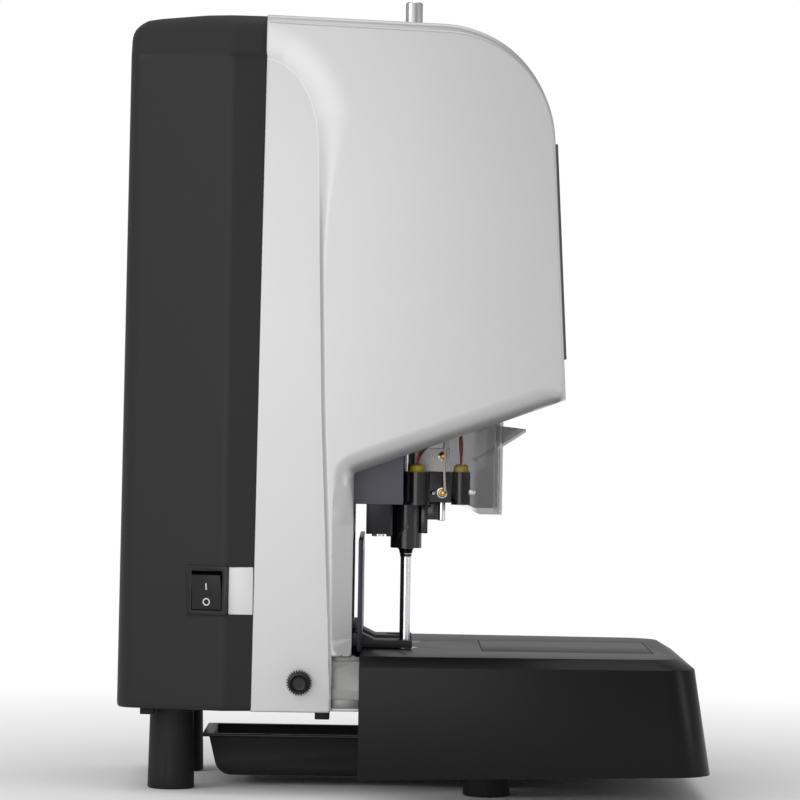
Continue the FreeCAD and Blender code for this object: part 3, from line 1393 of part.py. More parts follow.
def panel_shape(name, gap):
    """The control panel's slab, let a little into the fascia."""
    return prism(name, "YZ_Plane", [
        (fascia_line("panel_low", "panel_proud"), "panel_low"),
        (fascia_line("panel_high", "panel_proud"), "panel_high"),
        (fascia_line("panel_high", "-panel_sunk"), "panel_high"),
        (fascia_line("panel_low", "-panel_sunk"), "panel_low"),
    ], f"-panel_half - {gap}", f"panel_half + {gap}")


def control_panel():
    slab = panel_shape("panel_slab", ZERO)
    window_well = window_shape("panel_window_well")
    holes = [
        rod(f"panel_key_hole_{number}", "y", key_spot(number), "fascia_nose - overrun * 2", "fascia_corner + overrun",
            "key_radius + key_gap")
        for number in range(len(KEY_NODES))
    ]
    keep("control_panel", cut("control_panel", slab, [window_well, *holes]))
    keep("display_window", window_shape("window_pane"))
    for number, node in enumerate(KEY_NODES):
        front = fascia_line("key_z", "panel_proud + key_proud")
        cap = rod(node + "_cap", "y", key_spot(number), front, f"{front} + key_depth", "key_radius")
        doc.recompute()
        front_edge = min(cap.Shape.Edges, key=lambda edge: edge.CenterOfMass.y)
        keep(node, softened(node, cap, lambda edge: edge.isSame(front_edge), "key_gap"))


def window_shape(name):
    return prism(name, "YZ_Plane", [
        (fascia_line("window_low", "panel_proud"), "window_low"),
        (fascia_line("window_high", "panel_proud"), "window_high"),
        (fascia_line("window_high", "panel_proud - window_thick"), "window_high"),
        (fascia_line("window_low", "panel_proud - window_thick"), "window_low"),
    ], "-window_half", "window_half")


def power_switch():
    flange = box("switch_face", ("-switch_flange", ZERO), ("-switch_half_width", "switch_half_width"),
                 ("-switch_half_height", "switch_half_height"))
    body = box("switch_body", ("-bite", "switch_depth"), ("-switch_body_half_width", "switch_body_half_width"),
               ("-switch_body_half_height", "switch_body_half_height"))
    window = box("switch_window", ("-switch_flange - overrun", "switch_depth - wall"),
                 ("-rocker_half_width - rocker_gap", "rocker_half_width + rocker_gap"),
                 ("-rocker_window_half", "rocker_window_half"))
    frame = cut("switch_frame", fuse("switch_blank", [flange, body]), [window])
    trunnions = rod("switch_pivot", "y", ("rocker_pivot_depth", ZERO), "-rocker_half_width - rocker_gap * 2",
                    "rocker_half_width + rocker_gap * 2", "rocker_pivot_radius - bore_gap")
    keep("switch_frame", on_facet(fuse("switch_frame_pin", [frame, trunnions]), 0, 0))
    front = "rocker_pivot_depth + switch_flange + rocker_proud"
    profile = prism("rocker_profile", "XZ_Plane", [
        (f"-({front})", "rocker_half_height"),
        (f"-({front}) + rocker_dish", ZERO),
        (f"-({front})", "-rocker_half_height"),
        ("-rocker_pivot_radius * 2", "-rocker_half_height"),
        ("rocker_pivot_radius * 2", "-rocker_half_height / 3"),
        ("rocker_pivot_radius * 2", "rocker_half_height / 3"),
        ("-rocker_pivot_radius * 2", "rocker_half_height"),
    ], "-rocker_half_width", "rocker_half_width")
    hole = rod("rocker_hole", "y", (ZERO, ZERO), "-rocker_half_width - overrun", "rocker_half_width + overrun",
               "rocker_pivot_radius")
    rocker = cut("switch_rocker", profile, [hole])
    keep("switch_rocker", on_facet(rocker, size("rocker_pivot_depth"), size("rocker_tilt")))


def power_inlet():
    back = "rear_back_low - running_gap * 2"
    seat = f"{back} - wall + bore_gap * 2"
    flange = box("inlet_face", ("inlet_x - inlet_half_width", "inlet_x + inlet_half_width"),
                 (f"{seat} - inlet_flange", seat), ("inlet_z - inlet_half_height", "inlet_z + inlet_half_height"))
    body = box("inlet_body", ("inlet_x - inlet_body_half_width", "inlet_x + inlet_body_half_width"),
               (f"{back} - inlet_depth", back),
               ("inlet_z - inlet_body_half_height", "inlet_z + inlet_body_half_height"))
    well = box("inlet_well", ("inlet_x - inlet_well_half_width", "inlet_x + inlet_well_half_width"),
               (f"{back} - inlet_well_depth", f"{back} + overrun"),
               ("inlet_z - inlet_well_half_height", "inlet_z + inlet_well_half_height"))
    pins = [
        box(f"inlet_pin_{number}", (f"inlet_x + {number} * inlet_pin_spread - inlet_pin_half / 2",
                                    f"inlet_x + {number} * inlet_pin_spread + inlet_pin_half / 2"),
            (f"{back} - inlet_well_depth - bite", f"{back} - inlet_well_depth + inlet_pin_length"),
            ("inlet_z - inlet_pin_half", "inlet_z + inlet_pin_half"))
        for number in (-1, 0, 1)
    ]
    shell = cut("inlet_shell", fuse("inlet_blank", [flange, body]), [well])
    keep("power_inlet", fuse("power_inlet", [shell, *pins]))


def guard():
    def plan(inset, reach):
        return [
            (f"-{GUARD_HALF} + {inset}", f"guard_rear + {reach}"),
            (f"-{GUARD_HALF} + {inset}", f"guard_front + {inset}"),
            (f"{GUARD_HALF} - {inset}", f"guard_front + {inset}"),
            (f"{GUARD_HALF} - {inset}", f"guard_rear + {reach}"),
        ]

    outer = prism("guard_outer", "XY_Plane", plan(ZERO, ZERO), "guard_bottom", "guard_top", [((1, 2), "guard_round")])
    inner = prism("guard_inner", "XY_Plane", plan("guard_thick", "overrun"), "guard_bottom - overrun",
                  "guard_top + overrun", [((1, 2), "guard_round - guard_thick")])
    corner = prism("guard_corner", "YZ_Plane", [
        ("guard_foot_rear", "guard_bottom - overrun"),
        ("guard_foot_rear", "guard_bottom"),
        ("(guard_foot_rear + guard_rear) / 2 + guard_thick", "guard_bottom + guard_round"),
        ("guard_rear", "guard_rear_low"),
        ("guard_rear + overrun", "guard_rear_low"),
        ("guard_rear + overrun", "guard_bottom - overrun"),
    ], f"-{GUARD_HALF} - overrun", f"{GUARD_HALF} + overrun")
    ears = [
        prism(f"guard_ear_{'left' if side == '-1' else 'right'}", "YZ_Plane", [
            ("visor_tip", "visor_tip_z"),
            ("guard_front + guard_round", "visor_tip_z + guard_thick"),
            ("guard_front + guard_round",
             "visor_tip_z + (visor_inner_z - visor_tip_z) * (guard_front + guard_round - visor_tip) / (visor_inner - visor_tip)"),
        ], f"{side} * ({GUARD_HALF} - guard_thick / 2) - guard_thick / 2",
            f"{side} * ({GUARD_HALF} - guard_thick / 2) + guard_thick / 2")
        for side in SIDES
    ]
    visor = prism("guard_visor", "YZ_Plane", [
        ("visor_tip", "visor_tip_z"),
        ("visor_inner", "visor_inner_z"),
        ("visor_inner", "visor_inner_z - guard_thick"),
        ("visor_tip", "visor_tip_z - guard_thick"),
    ], f"-{GUARD_HALF} + guard_thick - bite", f"{GUARD_HALF} - guard_thick + bite")
    keep("guard", fuse("guard", [cut("guard_bent", outer, [inner, corner]), *ears, visor]))
    screws = []
    for side in SIDES:
        for number in ("0", "1"):
            spot = (f"guard_screw_y - {number} * guard_screw_pitch", "guard_screw_z")
            middle = f"{side} * ({GUARD_HALF} - guard_thick + frame_half + frame_thick) / 2"
            reach = f"({GUARD_HALF} - guard_thick - frame_half - frame_thick) / 2"
            spacer = rod(f"guard_spacer_{side}_{number}", "x", spot, f"{middle} - {reach}", f"{middle} + {reach}",
                         "guard_screw_radius")
            head_middle = f"{side} * ({GUARD_HALF} + guard_screw_head / 2)"
            head = rod(f"guard_head_{side}_{number}", "x", spot, f"{head_middle} - guard_screw_head / 2",
                       f"{head_middle} + guard_screw_head / 2", "guard_screw_radius")
            screws.extend([spacer, head])
    keep("guard_screws", group("guard_screws", screws))


def electronics():
    board = box("board_sheet", (f"-{BOARD_HALF}", BOARD_HALF), ("board_front", "board_front + board_thick"),
                ("board_low", "board_high"))
    chips = []
    for number, (across_share, up_share) in enumerate(((-0.6, 0.2), (0.1, 0.15), (-0.2, 0.6), (0.45, 0.62))):
        left = f"{BOARD_HALF} * {across_share}"
        low = f"board_low + (board_high - board_low) * {up_share}"
        chips.append(box(f"board_chip_{number}", (left, f"{left} + {BOARD_HALF} * board_chip_share * 2"),
                         ("board_front + board_thick - bite", "board_front + board_thick + board_chip_height"),
                         (low, f"{low} + (board_high - board_low) * board_chip_share")))
    posts = [
        rod(f"board_post_{side}_{level}", "y", (f"{side} * (frame_half + frame_thick / 2)", height), "frame_rear",
            "board_front + bite", "frame_thick")
        for side in SIDES for level, height in (("low", "board_low + frame_thick * 2"), ("high", "board_high - frame_thick * 2"))
    ]
    keep("circuit_board", fuse("circuit_board", [board, *chips, *posts]))
    keep("power_supply", box("power_supply", ("-supply_half", "supply_half"), ("supply_front", "supply_rear"),
                             (CHASSIS_TOP, "supply_top")))


def tube(points, radius):
    """A wire along straight runs joined by round bends, each as large as its two runs allow."""
    edges = []
    start = points[0]
    for before, spot, after in zip(points, points[1:], points[2:]):
        back = (before - spot)
        ahead = (after - spot)
        reach = 0.45 * min(back.Length, ahead.Length)
        back.normalize()
        ahead.normalize()
        enter = spot + back * reach
        leave = spot + ahead * reach
        half_turn = (math.pi - back.getAngle(ahead)) / 2
        bend = reach / math.tan(half_turn)
        to_centre = (back + ahead).normalize()
        middle = spot + to_centre * (bend / math.cos(half_turn) - bend)
        edges.append(Part.LineSegment(start, enter).toShape())
        edges.append(Part.Arc(enter, middle, leave).toShape())
        start = leave
    edges.append(Part.LineSegment(start, points[-1]).toShape())
    path = Part.Wire(edges)
    ring = Part.Wire(Part.Circle(points[0], points[1] - points[0], radius).toShape())
    return path.makePipeShell([ring], True, False)


def wires():
    face_x = -size("station_x")
    cap_top = size("block_top") + size("cap_height")
    side_x = face_x - size("block_half") - size("heater_side_radius")
    front_y = size("block_front") - size("heater_front_radius")
    routes = [
        [(side_x - 1.5, -1.0, cap_top), (side_x - 1.5, -1.0, cap_top + 8), (side_x + 1.0, -8.0, cap_top + 17),
         (side_x + 2.0, -18.0, cap_top + 22), (side_x + 4.0, -24.0, cap_top + 31)],
        [(side_x + 1.6, -1.0, cap_top), (side_x + 1.6, -1.0, cap_top + 5), (side_x + 2.6, -9.0, cap_top + 13),
         (side_x + 3.4, -17.5, cap_top + 15), (side_x + 3.8, -22.0, cap_top + 26)],
        [(face_x - 1.4, front_y, cap_top), (face_x - 1.4, front_y, cap_top + 9),
         (face_x - 2.6, front_y + 0.4, cap_top + 20)],
        [(face_x + 1.6, front_y, cap_top), (face_x + 1.6, front_y, cap_top + 10),
         (face_x + 1.8, front_y + 0.2, cap_top + 21)],
    ]
    tubes = [tube([FreeCAD.Vector(*spot) for spot in route], size("lead_radius")) for route in routes]
    leads = doc.addObject("Part::Feature", "heater_leads")
    leads.Shape = Part.makeCompound(tubes)
    keep("heater_leads", leads)
    x, y, back = size("bundle_gap") - size("frame_half"), size("bundle_y"), size("frame_column_front")
    low, high = size("bundle_low"), size("bundle_high")
    route = [(x, back, low), (x, back - 8, low), (x, y, low + 10), (x - 0.8, y - 0.5, low + 44),
             (x + 0.4, y + 0.3, high - 14), (x, back - 9, high), (x, back, high)]
    bundle = doc.addObject("Part::Feature", "wire_bundle")
    bundle.Shape = tube([FreeCAD.Vector(*spot) for spot in route], size("bundle_radius"))
    keep("wire_bundle", bundle)


def write_parts():
    """Stop on a failed object, then write each sub-part."""
    doc.recompute()
    for thing in doc.Objects:
        if "Invalid" in thing.State or "Error" in thing.State:
            raise ValueError(f"{thing.Name} is {thing.State}")
    for node, thing in parts.items():
        if thing.Shape.isNull() or not thing.Shape.isValid():
            raise ValueError(f"{node} has a bad shape")
    os.makedirs("parts", exist_ok=True)
    for node, thing in parts.items():
        thing.Shape.exportStep(f"parts/{node}.step")


for build in (base_cover, chassis, side_rails, table_plate, dies, side_frames, motor_plate, guides, rivet_feed,
              rivet_unit, heaters, drill_unit, drill_drive, drill_belt, press_foot, guide_blocks, fence_parts,
              margin_drive, tray, tray_hanger, legs, rear_cover, housings, fascia, control_panel, power_switch,
              power_inlet, guard, electronics, wires):
    build()
write_parts()
print(len(parts), "sub-parts")
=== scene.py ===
import bmesh
import bpy
import json
import math
import numpy as np
from mathutils import Matrix, Vector, geometry, kdtree

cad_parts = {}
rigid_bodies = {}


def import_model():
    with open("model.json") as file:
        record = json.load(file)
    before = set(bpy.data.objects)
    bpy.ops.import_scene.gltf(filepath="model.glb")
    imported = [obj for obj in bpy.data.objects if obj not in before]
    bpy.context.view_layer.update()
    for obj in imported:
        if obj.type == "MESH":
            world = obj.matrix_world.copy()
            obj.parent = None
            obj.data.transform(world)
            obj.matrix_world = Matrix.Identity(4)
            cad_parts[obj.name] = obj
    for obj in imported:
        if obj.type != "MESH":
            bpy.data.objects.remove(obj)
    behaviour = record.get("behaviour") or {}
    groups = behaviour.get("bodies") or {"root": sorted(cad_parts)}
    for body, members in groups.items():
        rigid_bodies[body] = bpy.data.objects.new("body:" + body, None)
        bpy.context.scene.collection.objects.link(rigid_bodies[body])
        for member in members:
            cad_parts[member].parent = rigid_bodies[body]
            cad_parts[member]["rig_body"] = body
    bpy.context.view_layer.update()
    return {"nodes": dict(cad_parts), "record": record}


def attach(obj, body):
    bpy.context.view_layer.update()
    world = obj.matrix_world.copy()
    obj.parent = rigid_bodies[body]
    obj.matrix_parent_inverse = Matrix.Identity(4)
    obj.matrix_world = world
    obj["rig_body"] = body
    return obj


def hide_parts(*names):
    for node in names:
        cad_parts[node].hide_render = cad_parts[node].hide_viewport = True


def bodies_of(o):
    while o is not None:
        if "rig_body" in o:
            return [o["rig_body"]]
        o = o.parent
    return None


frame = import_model()
nodes = frame["nodes"]
MM = 0.001


# Camera, as the photograph was taken: square on to the left side, a long lens, leaning a little

def photo_camera():
    """The camera that the photograph is matched with. Lens and sensor are in mm, the place in metres."""
    lens = bpy.data.cameras.new("photo_camera")
    lens.sensor_width = 36
    lens.lens = 170.87
    lens.shift_x = 0.0125
    lens.shift_y = 0.0125
    lens.clip_end = 60
    camera = bpy.data.objects.new("photo_camera", lens)
    along_x = Matrix(((0, 0, -1), (-1, 0, 0), (0, 1, 0)))
    camera.matrix_world = (Matrix.Translation((-2.55, 0.0174, 0.2491)) @ along_x.to_4x4()
                           @ Matrix.Rotation(math.radians(0.9), 4, "Z"))
    bpy.context.scene.collection.objects.link(camera)
    bpy.context.scene.camera = camera


photo_camera()


# Materials

def linear(code):
    """An sRGB hex colour as linear light."""
    parts = [int(code[at:at + 2], 16) / 255 for at in (1, 3, 5)]
    return tuple(c / 12.92 if c <= 0.04045 else ((c + 0.055) / 1.055) ** 2.4 for c in parts)


def add(tree, kind, inputs=(), **settings):
    """One shader or geometry node with its settings, its socket values and its links."""
    made = tree.nodes.new(kind)
    for name, value in settings.items():
        setattr(made, name, value)
    for socket, value in dict(inputs).items():
        if isinstance(value, bpy.types.NodeSocket):
            tree.links.new(value, made.inputs[socket])
        else:
            made.inputs[socket].default_value = value
    return made


def cleared(block):
    """The empty node tree of a material or world."""
    block.use_nodes = True
    block.node_tree.nodes.clear()
    return block.node_tree


def linked(name, data):
    """A new object of the scene."""
    thing = bpy.data.objects.new(name, data)
    bpy.context.scene.collection.objects.link(thing)
    return thing


def shade(colour, share):
    """A colour made lighter or darker, with full alpha."""
    return (*(min(1.0, part * share) for part in colour), 1.0)


GLOSS_SWING = 0.06  # how far the grain moves the roughness either way


def finish(name, code, rough, metallic=0.0, grain=0.5, relief=0.02, tone=0.06, drift=60.0,
           stretch=(1, 1, 1), **sockets):
    """A surface with grain in its relief and gloss, and a slow drift of tone.

    Grain, relief and drift are in mm.
    """
    material = bpy.data.materials.new(name)
    tree = cleared(material)
    colour = linear(code)
    place = add(tree, "ShaderNodeTexCoord").outputs["Object"]
    fine_place = add(tree, "ShaderNodeMapping", {"Vector": place,
                                                 "Scale": [part / (grain * MM) for part in stretch]})
    fine = add(tree, "ShaderNodeTexNoise", {"Vector": fine_place.outputs[0], "Scale": 1.0,
                                            "Detail": 3.0, "Roughness": 0.6})
    slow_place = add(tree, "ShaderNodeMapping", {"Vector": place, "Scale": [1 / (drift * MM)] * 3})
    slow = add(tree, "ShaderNodeTexNoise", {"Vector": slow_place.outputs[0], "Scale": 1.0, "Detail": 2.0})
    both = add(tree, "ShaderNodeMix", {0: 0.4, 2: slow.outputs["Fac"], 3: fine.outputs["Fac"]},
               data_type="FLOAT")
    tint = add(tree, "ShaderNodeMix", {0: both.outputs[0], 6: shade(colour, 1 - tone),
                                       7: shade(colour, 1 + tone)}, data_type="RGBA")
    gloss = add(tree, "ShaderNodeMapRange", {"Value": fine.outputs["Fac"],
                                             "To Min": max(0.02, rough - GLOSS_SWING),
                                             "To Max": min(1.0, rough + GLOSS_SWING)})
    bump = add(tree, "ShaderNodeBump", {"Height": fine.outputs["Fac"], "Distance": relief * MM,
                                        "Strength": 1.0})
    shader = add(tree, "ShaderNodeBsdfPrincipled", {
        "Base Color": tint.outputs[2], "Roughness": gloss.outputs[0], "Metallic": metallic,
        "Normal": bump.outputs[0], **sockets})
    add(tree, "ShaderNodeOutputMaterial", {"Surface": shader.outputs[0]})
    material.diffuse_color = (*colour, 1)
    return material


FINISHES = {
    # Sprayed silver lacquer on moulded ABS: fine metal flake, soft wide highlights
    "silver_lacquer": finish("silver_lacquer", "#bcbcbd", 0.4, 0.6, grain=0.35, relief=0.006,
                             tone=0.035, drift=90),
    # The same lacquer on the tab by the switch, painted lighter: a painted highlight for the light it catches
    # where it lies flat
    "silver_tab_painted_highlight": finish("silver_tab_painted_highlight", "#d9d9da", 0.5, 0.3, grain=0.35, relief=0.005, tone=0.02),
    # Black ABS moulded in a spark-eroded tool: an even fine grain that softens every reflection
    "black_grained_abs": finish("black_grained_abs", "#1d1d1e", 0.5, grain=0.7, relief=0.02, tone=0.08,
                                **{"Specular IOR Level": 0.3}),
    # The table's cover has the same grain, but is glossier, so it mirrors the rod at a low angle
    "black_table_abs": finish("black_table_abs", "#0f0f10", 0.32, grain=0.8, relief=0.008, tone=0.06,
                              **{"Specular IOR Level": 0.17}),
    # Smooth black ABS of the tray, knob, switch and legs
    "black_smooth_abs": finish("black_smooth_abs", "#101011", 0.34, grain=1.2, relief=0.01, tone=0.06,
                               **{"Specular IOR Level": 0.34}),
    "black_rubber": finish("black_rubber", "#111111", 0.6, grain=0.6, relief=0.02, tone=0.1,
                           **{"Specular IOR Level": 0.35}),
    # Zinc-plated sheet: rolled streaks along the sheet and cloudy plating
    "zinc_sheet": finish("zinc_sheet", "#b9b9b7", 0.42, 0.85, grain=0.9, relief=0.01, tone=0.14, drift=14,
                         stretch=(1, 0.12, 1)),
    # The rails are the same sheet, brushed upright before plating: duller, with fine lines
    "brushed_rail": finish("brushed_rail", "#8f8f8e", 0.46, 0.8, grain=0.5, relief=0.02, tone=0.2,
                           drift=9, stretch=(1, 1, 0.1)),
    # Dark painted bracket plates with a slight orange peel
    "grey_painted_steel": finish("grey_painted_steel", "#55555d", 0.5, 0.35, grain=1.4, relief=0.01,
                                 tone=0.1, drift=20),
    "black_painted_steel": finish("black_painted_steel", "#242428", 0.42, 0.2, grain=1.0, relief=0.01,
                                  tone=0.1, drift=20),
    # Turned and blackened steel: fine rings round the axis show in the gloss
    "blackened_steel": finish("blackened_steel", "#26262a", 0.3, 0.75, grain=0.5, relief=0.006,
                              tone=0.15, drift=8, stretch=(0.15, 0.15, 1)),
    # Ground and polished steel of the rods, needle, drill and screws
    "ground_steel": finish("ground_steel", "#cfcfd2", 0.16, 1.0, grain=0.4, relief=0.002, tone=0.05,
                           drift=10, stretch=(0.1, 0.1, 1)),
    # The inlet sleeve is turned aluminium, brushed along its length
    "turned_aluminium": finish("turned_aluminium", "#c3c3c6", 0.34, 1.0, grain=0.4, relief=0.006,
                               tone=0.1, drift=6, stretch=(1, 1, 0.08)),
    "milled_aluminium": finish("milled_aluminium", "#a4a4aa", 0.36, 1.0, grain=0.6, relief=0.006, tone=0.08,
                               stretch=(1, 0.1, 1)),
    # Pressed mica and ceramic behind the heater: chalky, with faint layers
    "white_ceramic": finish("white_ceramic", "#dedcd8", 0.65, grain=0.5, relief=0.03, tone=0.3, drift=2.4,
                            stretch=(1, 0.3, 1)),
    # Yellow insulating tape, wrapped in thin turns
    "yellow_tape": finish("yellow_tape", "#c9b436", 0.42, grain=0.9, relief=0.05, tone=0.2, drift=3,
                          stretch=(0.3, 0.3, 1.4)),
    "turned_brass": finish("turned_brass", "#c9a25a", 0.25, 1.0, grain=0.3, relief=0.01, tone=0.15,
                           drift=2),
    # Glossy black enamel of the heaters and the parts under the carriage: sharp upright highlights
    "black_enamel": finish("black_enamel", "#141418", 0.2, grain=1.2, relief=0.01, tone=0.1, drift=6),
    # Black epoxy on the fence: a little blue, with a soft sheen
    "blue_black_epoxy": finish("blue_black_epoxy", "#2a2a34", 0.3, 0.3, grain=0.8, relief=0.008,
                               tone=0.1, drift=12),
    "white_nylon": finish("white_nylon", "#d9d9d4", 0.5, grain=0.8, relief=0.02, tone=0.05, drift=6),
    "red_silicone": finish("red_silicone", "#9c1a1c", 0.45, grain=0.5, relief=0.01, tone=0.12, drift=4),
    "dark_silicone": finish("dark_silicone", "#3a1518", 0.45, grain=0.5, relief=0.01, tone=0.12, drift=4),
    "white_braid": finish("white_braid", "#d8cfc9", 0.7, grain=0.35, relief=0.06, tone=0.2, drift=2),
    "pink_sleeving": finish("pink_sleeving", "#b97a72", 0.7, grain=0.5, relief=0.08, tone=0.3, drift=5),
    # Printed film over a grey carrier: mid grey, so its edge is lighter than the black parts
    "panel_film": finish("panel_film", "#5d5d60", 0.4, grain=0.8, relief=0.005, tone=0.03),
    "green_key": finish("green_key", "#2f8a4a", 0.3, grain=0.8, relief=0.005, tone=0.04),
    "red_key": finish("red_key", "#b2261f", 0.3, grain=0.8, relief=0.005, tone=0.04),
    "grey_key": finish("grey_key", "#9b9b9f", 0.35, grain=0.8, relief=0.005, tone=0.04),
    "white_print": finish("white_print", "#c9c9c9", 0.55, grain=0.4, relief=0.004, tone=0.03),
    "solder_mask": finish("solder_mask", "#14512c", 0.35, grain=1.5, relief=0.03, tone=0.2, drift=12),
}


def grade(material, low, high, reach):
    """Let a sheet's tint run from one strength to another along Y, in mm."""
    tree = material.node_tree
    shader = next(n for n in tree.nodes if n.type == "BSDF_PRINCIPLED")
    place = add(tree, "ShaderNodeSeparateXYZ", {0: add(tree, "ShaderNodeTexCoord").outputs["Object"]})
    tint = add(tree, "ShaderNodeMapRange", {"Value": place.outputs["Y"], "From Min": reach[0] * MM,
                                            "From Max": reach[1] * MM, "To Min": low, "To Max": high})
    tree.links.new(tint.outputs[0], shader.inputs["Alpha"])


def clear_finish(name, code, rough, alpha):
    """A tinted sheet that light passes straight through, with a gloss on top."""
    material = finish(name, code, rough, grain=2.0, relief=0.002, tone=0.03, drift=40)
    tree = material.node_tree
    shader = next(n for n in tree.nodes if n.type == "BSDF_PRINCIPLED")
    shader.inputs["Alpha"].default_value = alpha
    return material


# Smoked acrylic, cast and bent: dark but see-through, with polished faces and pale cut edges
FINISHES["smoked_acrylic"] = clear_finish("smoked_acrylic", "#4a484b", 0.08, 0.53)
# The same sheet on the left wing, where its tint fades out beside the heater
FINISHES["graded_acrylic"] = clear_finish("graded_acrylic", "#4a484b", 0.06, 0.45)
grade(FINISHES["graded_acrylic"], 0.45, 0.08, (-40.5, -36.5))
# A cut edge scatters light and looks paler than the faces
FINISHES["acrylic_edge"] = clear_finish("acrylic_edge", "#c9c4c8", 0.2, 0.75)
# The display's window: nearly black glass with a blue cast
FINISHES["display_glass"] = finish("display_glass", "#14202a", 0.08, grain=3.0, relief=0.001, tone=0.1)


# Shapes

def piece(name, points, faces, look, body="frame", stands_for=(), slot=None, sharp=35):
    """A mesh piece from points in mm, its faces turned outwards, riding on a body."""
    mesh = bpy.data.meshes.new(name)
    mesh.from_pydata([Vector(p) * MM for p in points], [], [list(f) for f in faces])
    work = bmesh.new()
    work.from_mesh(mesh)
    bmesh.ops.remove_doubles(work, verts=work.verts, dist=1e-7)
    bmesh.ops.recalc_face_normals(work, faces=work.faces)
    work.to_mesh(mesh)
    work.free()
    return settle(name, mesh, look, body, stands_for, sharp)


def settle(name, mesh, look, body, stands_for, sharp=35):
    """Make the mesh an object of the scene: smooth but for its sharp edges, in its finish, on its body."""
    thing = linked(name, mesh)
    mesh.materials.clear()
    mesh.materials.append(FINISHES[look])
    mesh.shade_smooth()
    mesh.set_sharp_from_angle(angle=math.radians(sharp))
    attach(thing, body)
    if stands_for:
        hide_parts(*stands_for)
    return thing


def applied(thing):
    """Fix a piece's modifiers into its mesh."""
    graph = bpy.context.evaluated_depsgraph_get()
    graph.update()
    mesh = bpy.data.meshes.new_from_object(thing.evaluated_get(graph))
    thing.modifiers.clear()
    thing.data = mesh
    return thing


def eased(thing, width, steps, angle=30, sharp=30):
    """Round a piece's edges that turn by more than an angle, in degrees."""
    bevel = thing.modifiers.new("edge", "BEVEL")
    bevel.width = width * MM
    bevel.segments = steps
    bevel.limit_method = "ANGLE"
    bevel.angle_limit = math.radians(angle)
    applied(thing)
    smooth(thing, sharp)
    return thing


def smooth(thing, sharp):
    thing.data.shade_smooth()
    thing.data.set_sharp_from_angle(angle=math.radians(sharp))


def walled(thing, thickness):
    """Give a shell its wall, inwards."""
    wall = thing.modifiers.new("wall", "SOLIDIFY")
    wall.thickness = thickness * MM
    wall.offset = -1
    applied(thing)


def body_of(node):
    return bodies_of(nodes[node])[0]


def slot_of(node):
    return next(entry["material_slot"] for entry in frame["record"]["subparts"] if entry["node"] == node)


def softened(node, look, width=0.4, steps=2, angle=30):
    """A node's own shape with its sharp edges rounded, so that they catch the light."""
    work = bmesh.new()
    work.from_mesh(nodes[node].data)
    bmesh.ops.remove_doubles(work, verts=work.verts, dist=2e-6)
    bmesh.ops.dissolve_limit(work, angle_limit=math.radians(0.6), verts=work.verts, edges=work.edges)
    bmesh.ops.dissolve_degenerate(work, dist=1e-6, edges=work.edges)
    mesh = bpy.data.meshes.new("soft_" + node)
    work.to_mesh(mesh)
    work.free()
    thing = settle("soft_" + node, mesh, look, body_of(node), (node,))
    return eased(thing, width, steps, angle, angle)


def plain(node, look):
    """Keep a node's own mesh and give it its finish."""
    mesh = nodes[node].data
    mesh.materials.clear()
    mesh.materials.append(FINISHES[look])


def ring_round(axis, centre, reach, radius, count):
    """Points in mm on a circle round an axis. The centre gives the other two coordinates."""
    along = "xyz".index(axis)
    points = []
    for step in range(count):
        turn = 2 * math.pi * step / count
        spot = [centre[0] + radius * math.cos(turn), centre[1] + radius * math.sin(turn)]
        spot.insert(along, reach)
        points.append(spot)
    return points


def lathe(name, axis, centre, profile, look, body="frame", stands_for=(), slot=None, count=40, sharp=35,
          shape=None):
    """A turned piece. The profile is (distance along the axis, radius)."""
    points = [shape(*spot) if shape else spot for reach, radius in profile
              for spot in ring_round(axis, centre, reach, radius, count)]
    faces = []
    rings = len(profile)
    for ring in range(rings - 1):
        for step in range(count):
            ahead = (step + 1) % count
            faces.append((ring * count + step, ring * count + ahead,
                          (ring + 1) * count + ahead, (ring + 1) * count + step))
    faces.append(range(count))
    faces.append(range((rings - 1) * count, rings * count))
    return piece(name, points, faces, look, body, stands_for, slot, sharp)


def slab(name, low, high, look, body="frame", width=0.4, steps=2, shape=None, **more):
    """A block between two corners with rounded edges. A shape function may move its points."""
    corners = [(x, y, z) for x in (low[0], high[0]) for y in (low[1], high[1]) for z in (low[2], high[2])]
    faces = ((0, 1, 3, 2), (4, 6, 7, 5), (0, 4, 5, 1), (2, 3, 7, 6), (0, 2, 6, 4), (1, 5, 7, 3))
    if shape:
        corners = [shape(*corner) for corner in corners]
    return eased(piece(name, corners, faces, look, body, **more), width, steps)


def wire(name, route, radius, look, body, stands_for=()):
    """A round wire along a smooth curve near the points of its route."""
    curve = bpy.data.curves.new(name, "CURVE")
    curve.dimensions = "3D"
    curve.bevel_depth = radius * MM
    curve.bevel_resolution = 3
    curve.use_fill_caps = True
    spline = curve.splines.new("NURBS")
    spline.points.add(len(route) - 1)
    for point, spot in zip(spline.points, route):
        point.co = (*(Vector(spot) * MM), 1)
    spline.order_u = 3
    spline.use_endpoint_u = True
    spline.resolution_u = 6
    holder = linked(name + "_curve", curve)
    graph = bpy.context.evaluated_depsgraph_get()
    mesh = bpy.data.meshes.new_from_object(holder.evaluated_get(graph))
    bpy.data.objects.remove(holder)
    mesh.name = name
    return settle(name, mesh, look, body, stands_for, 60)


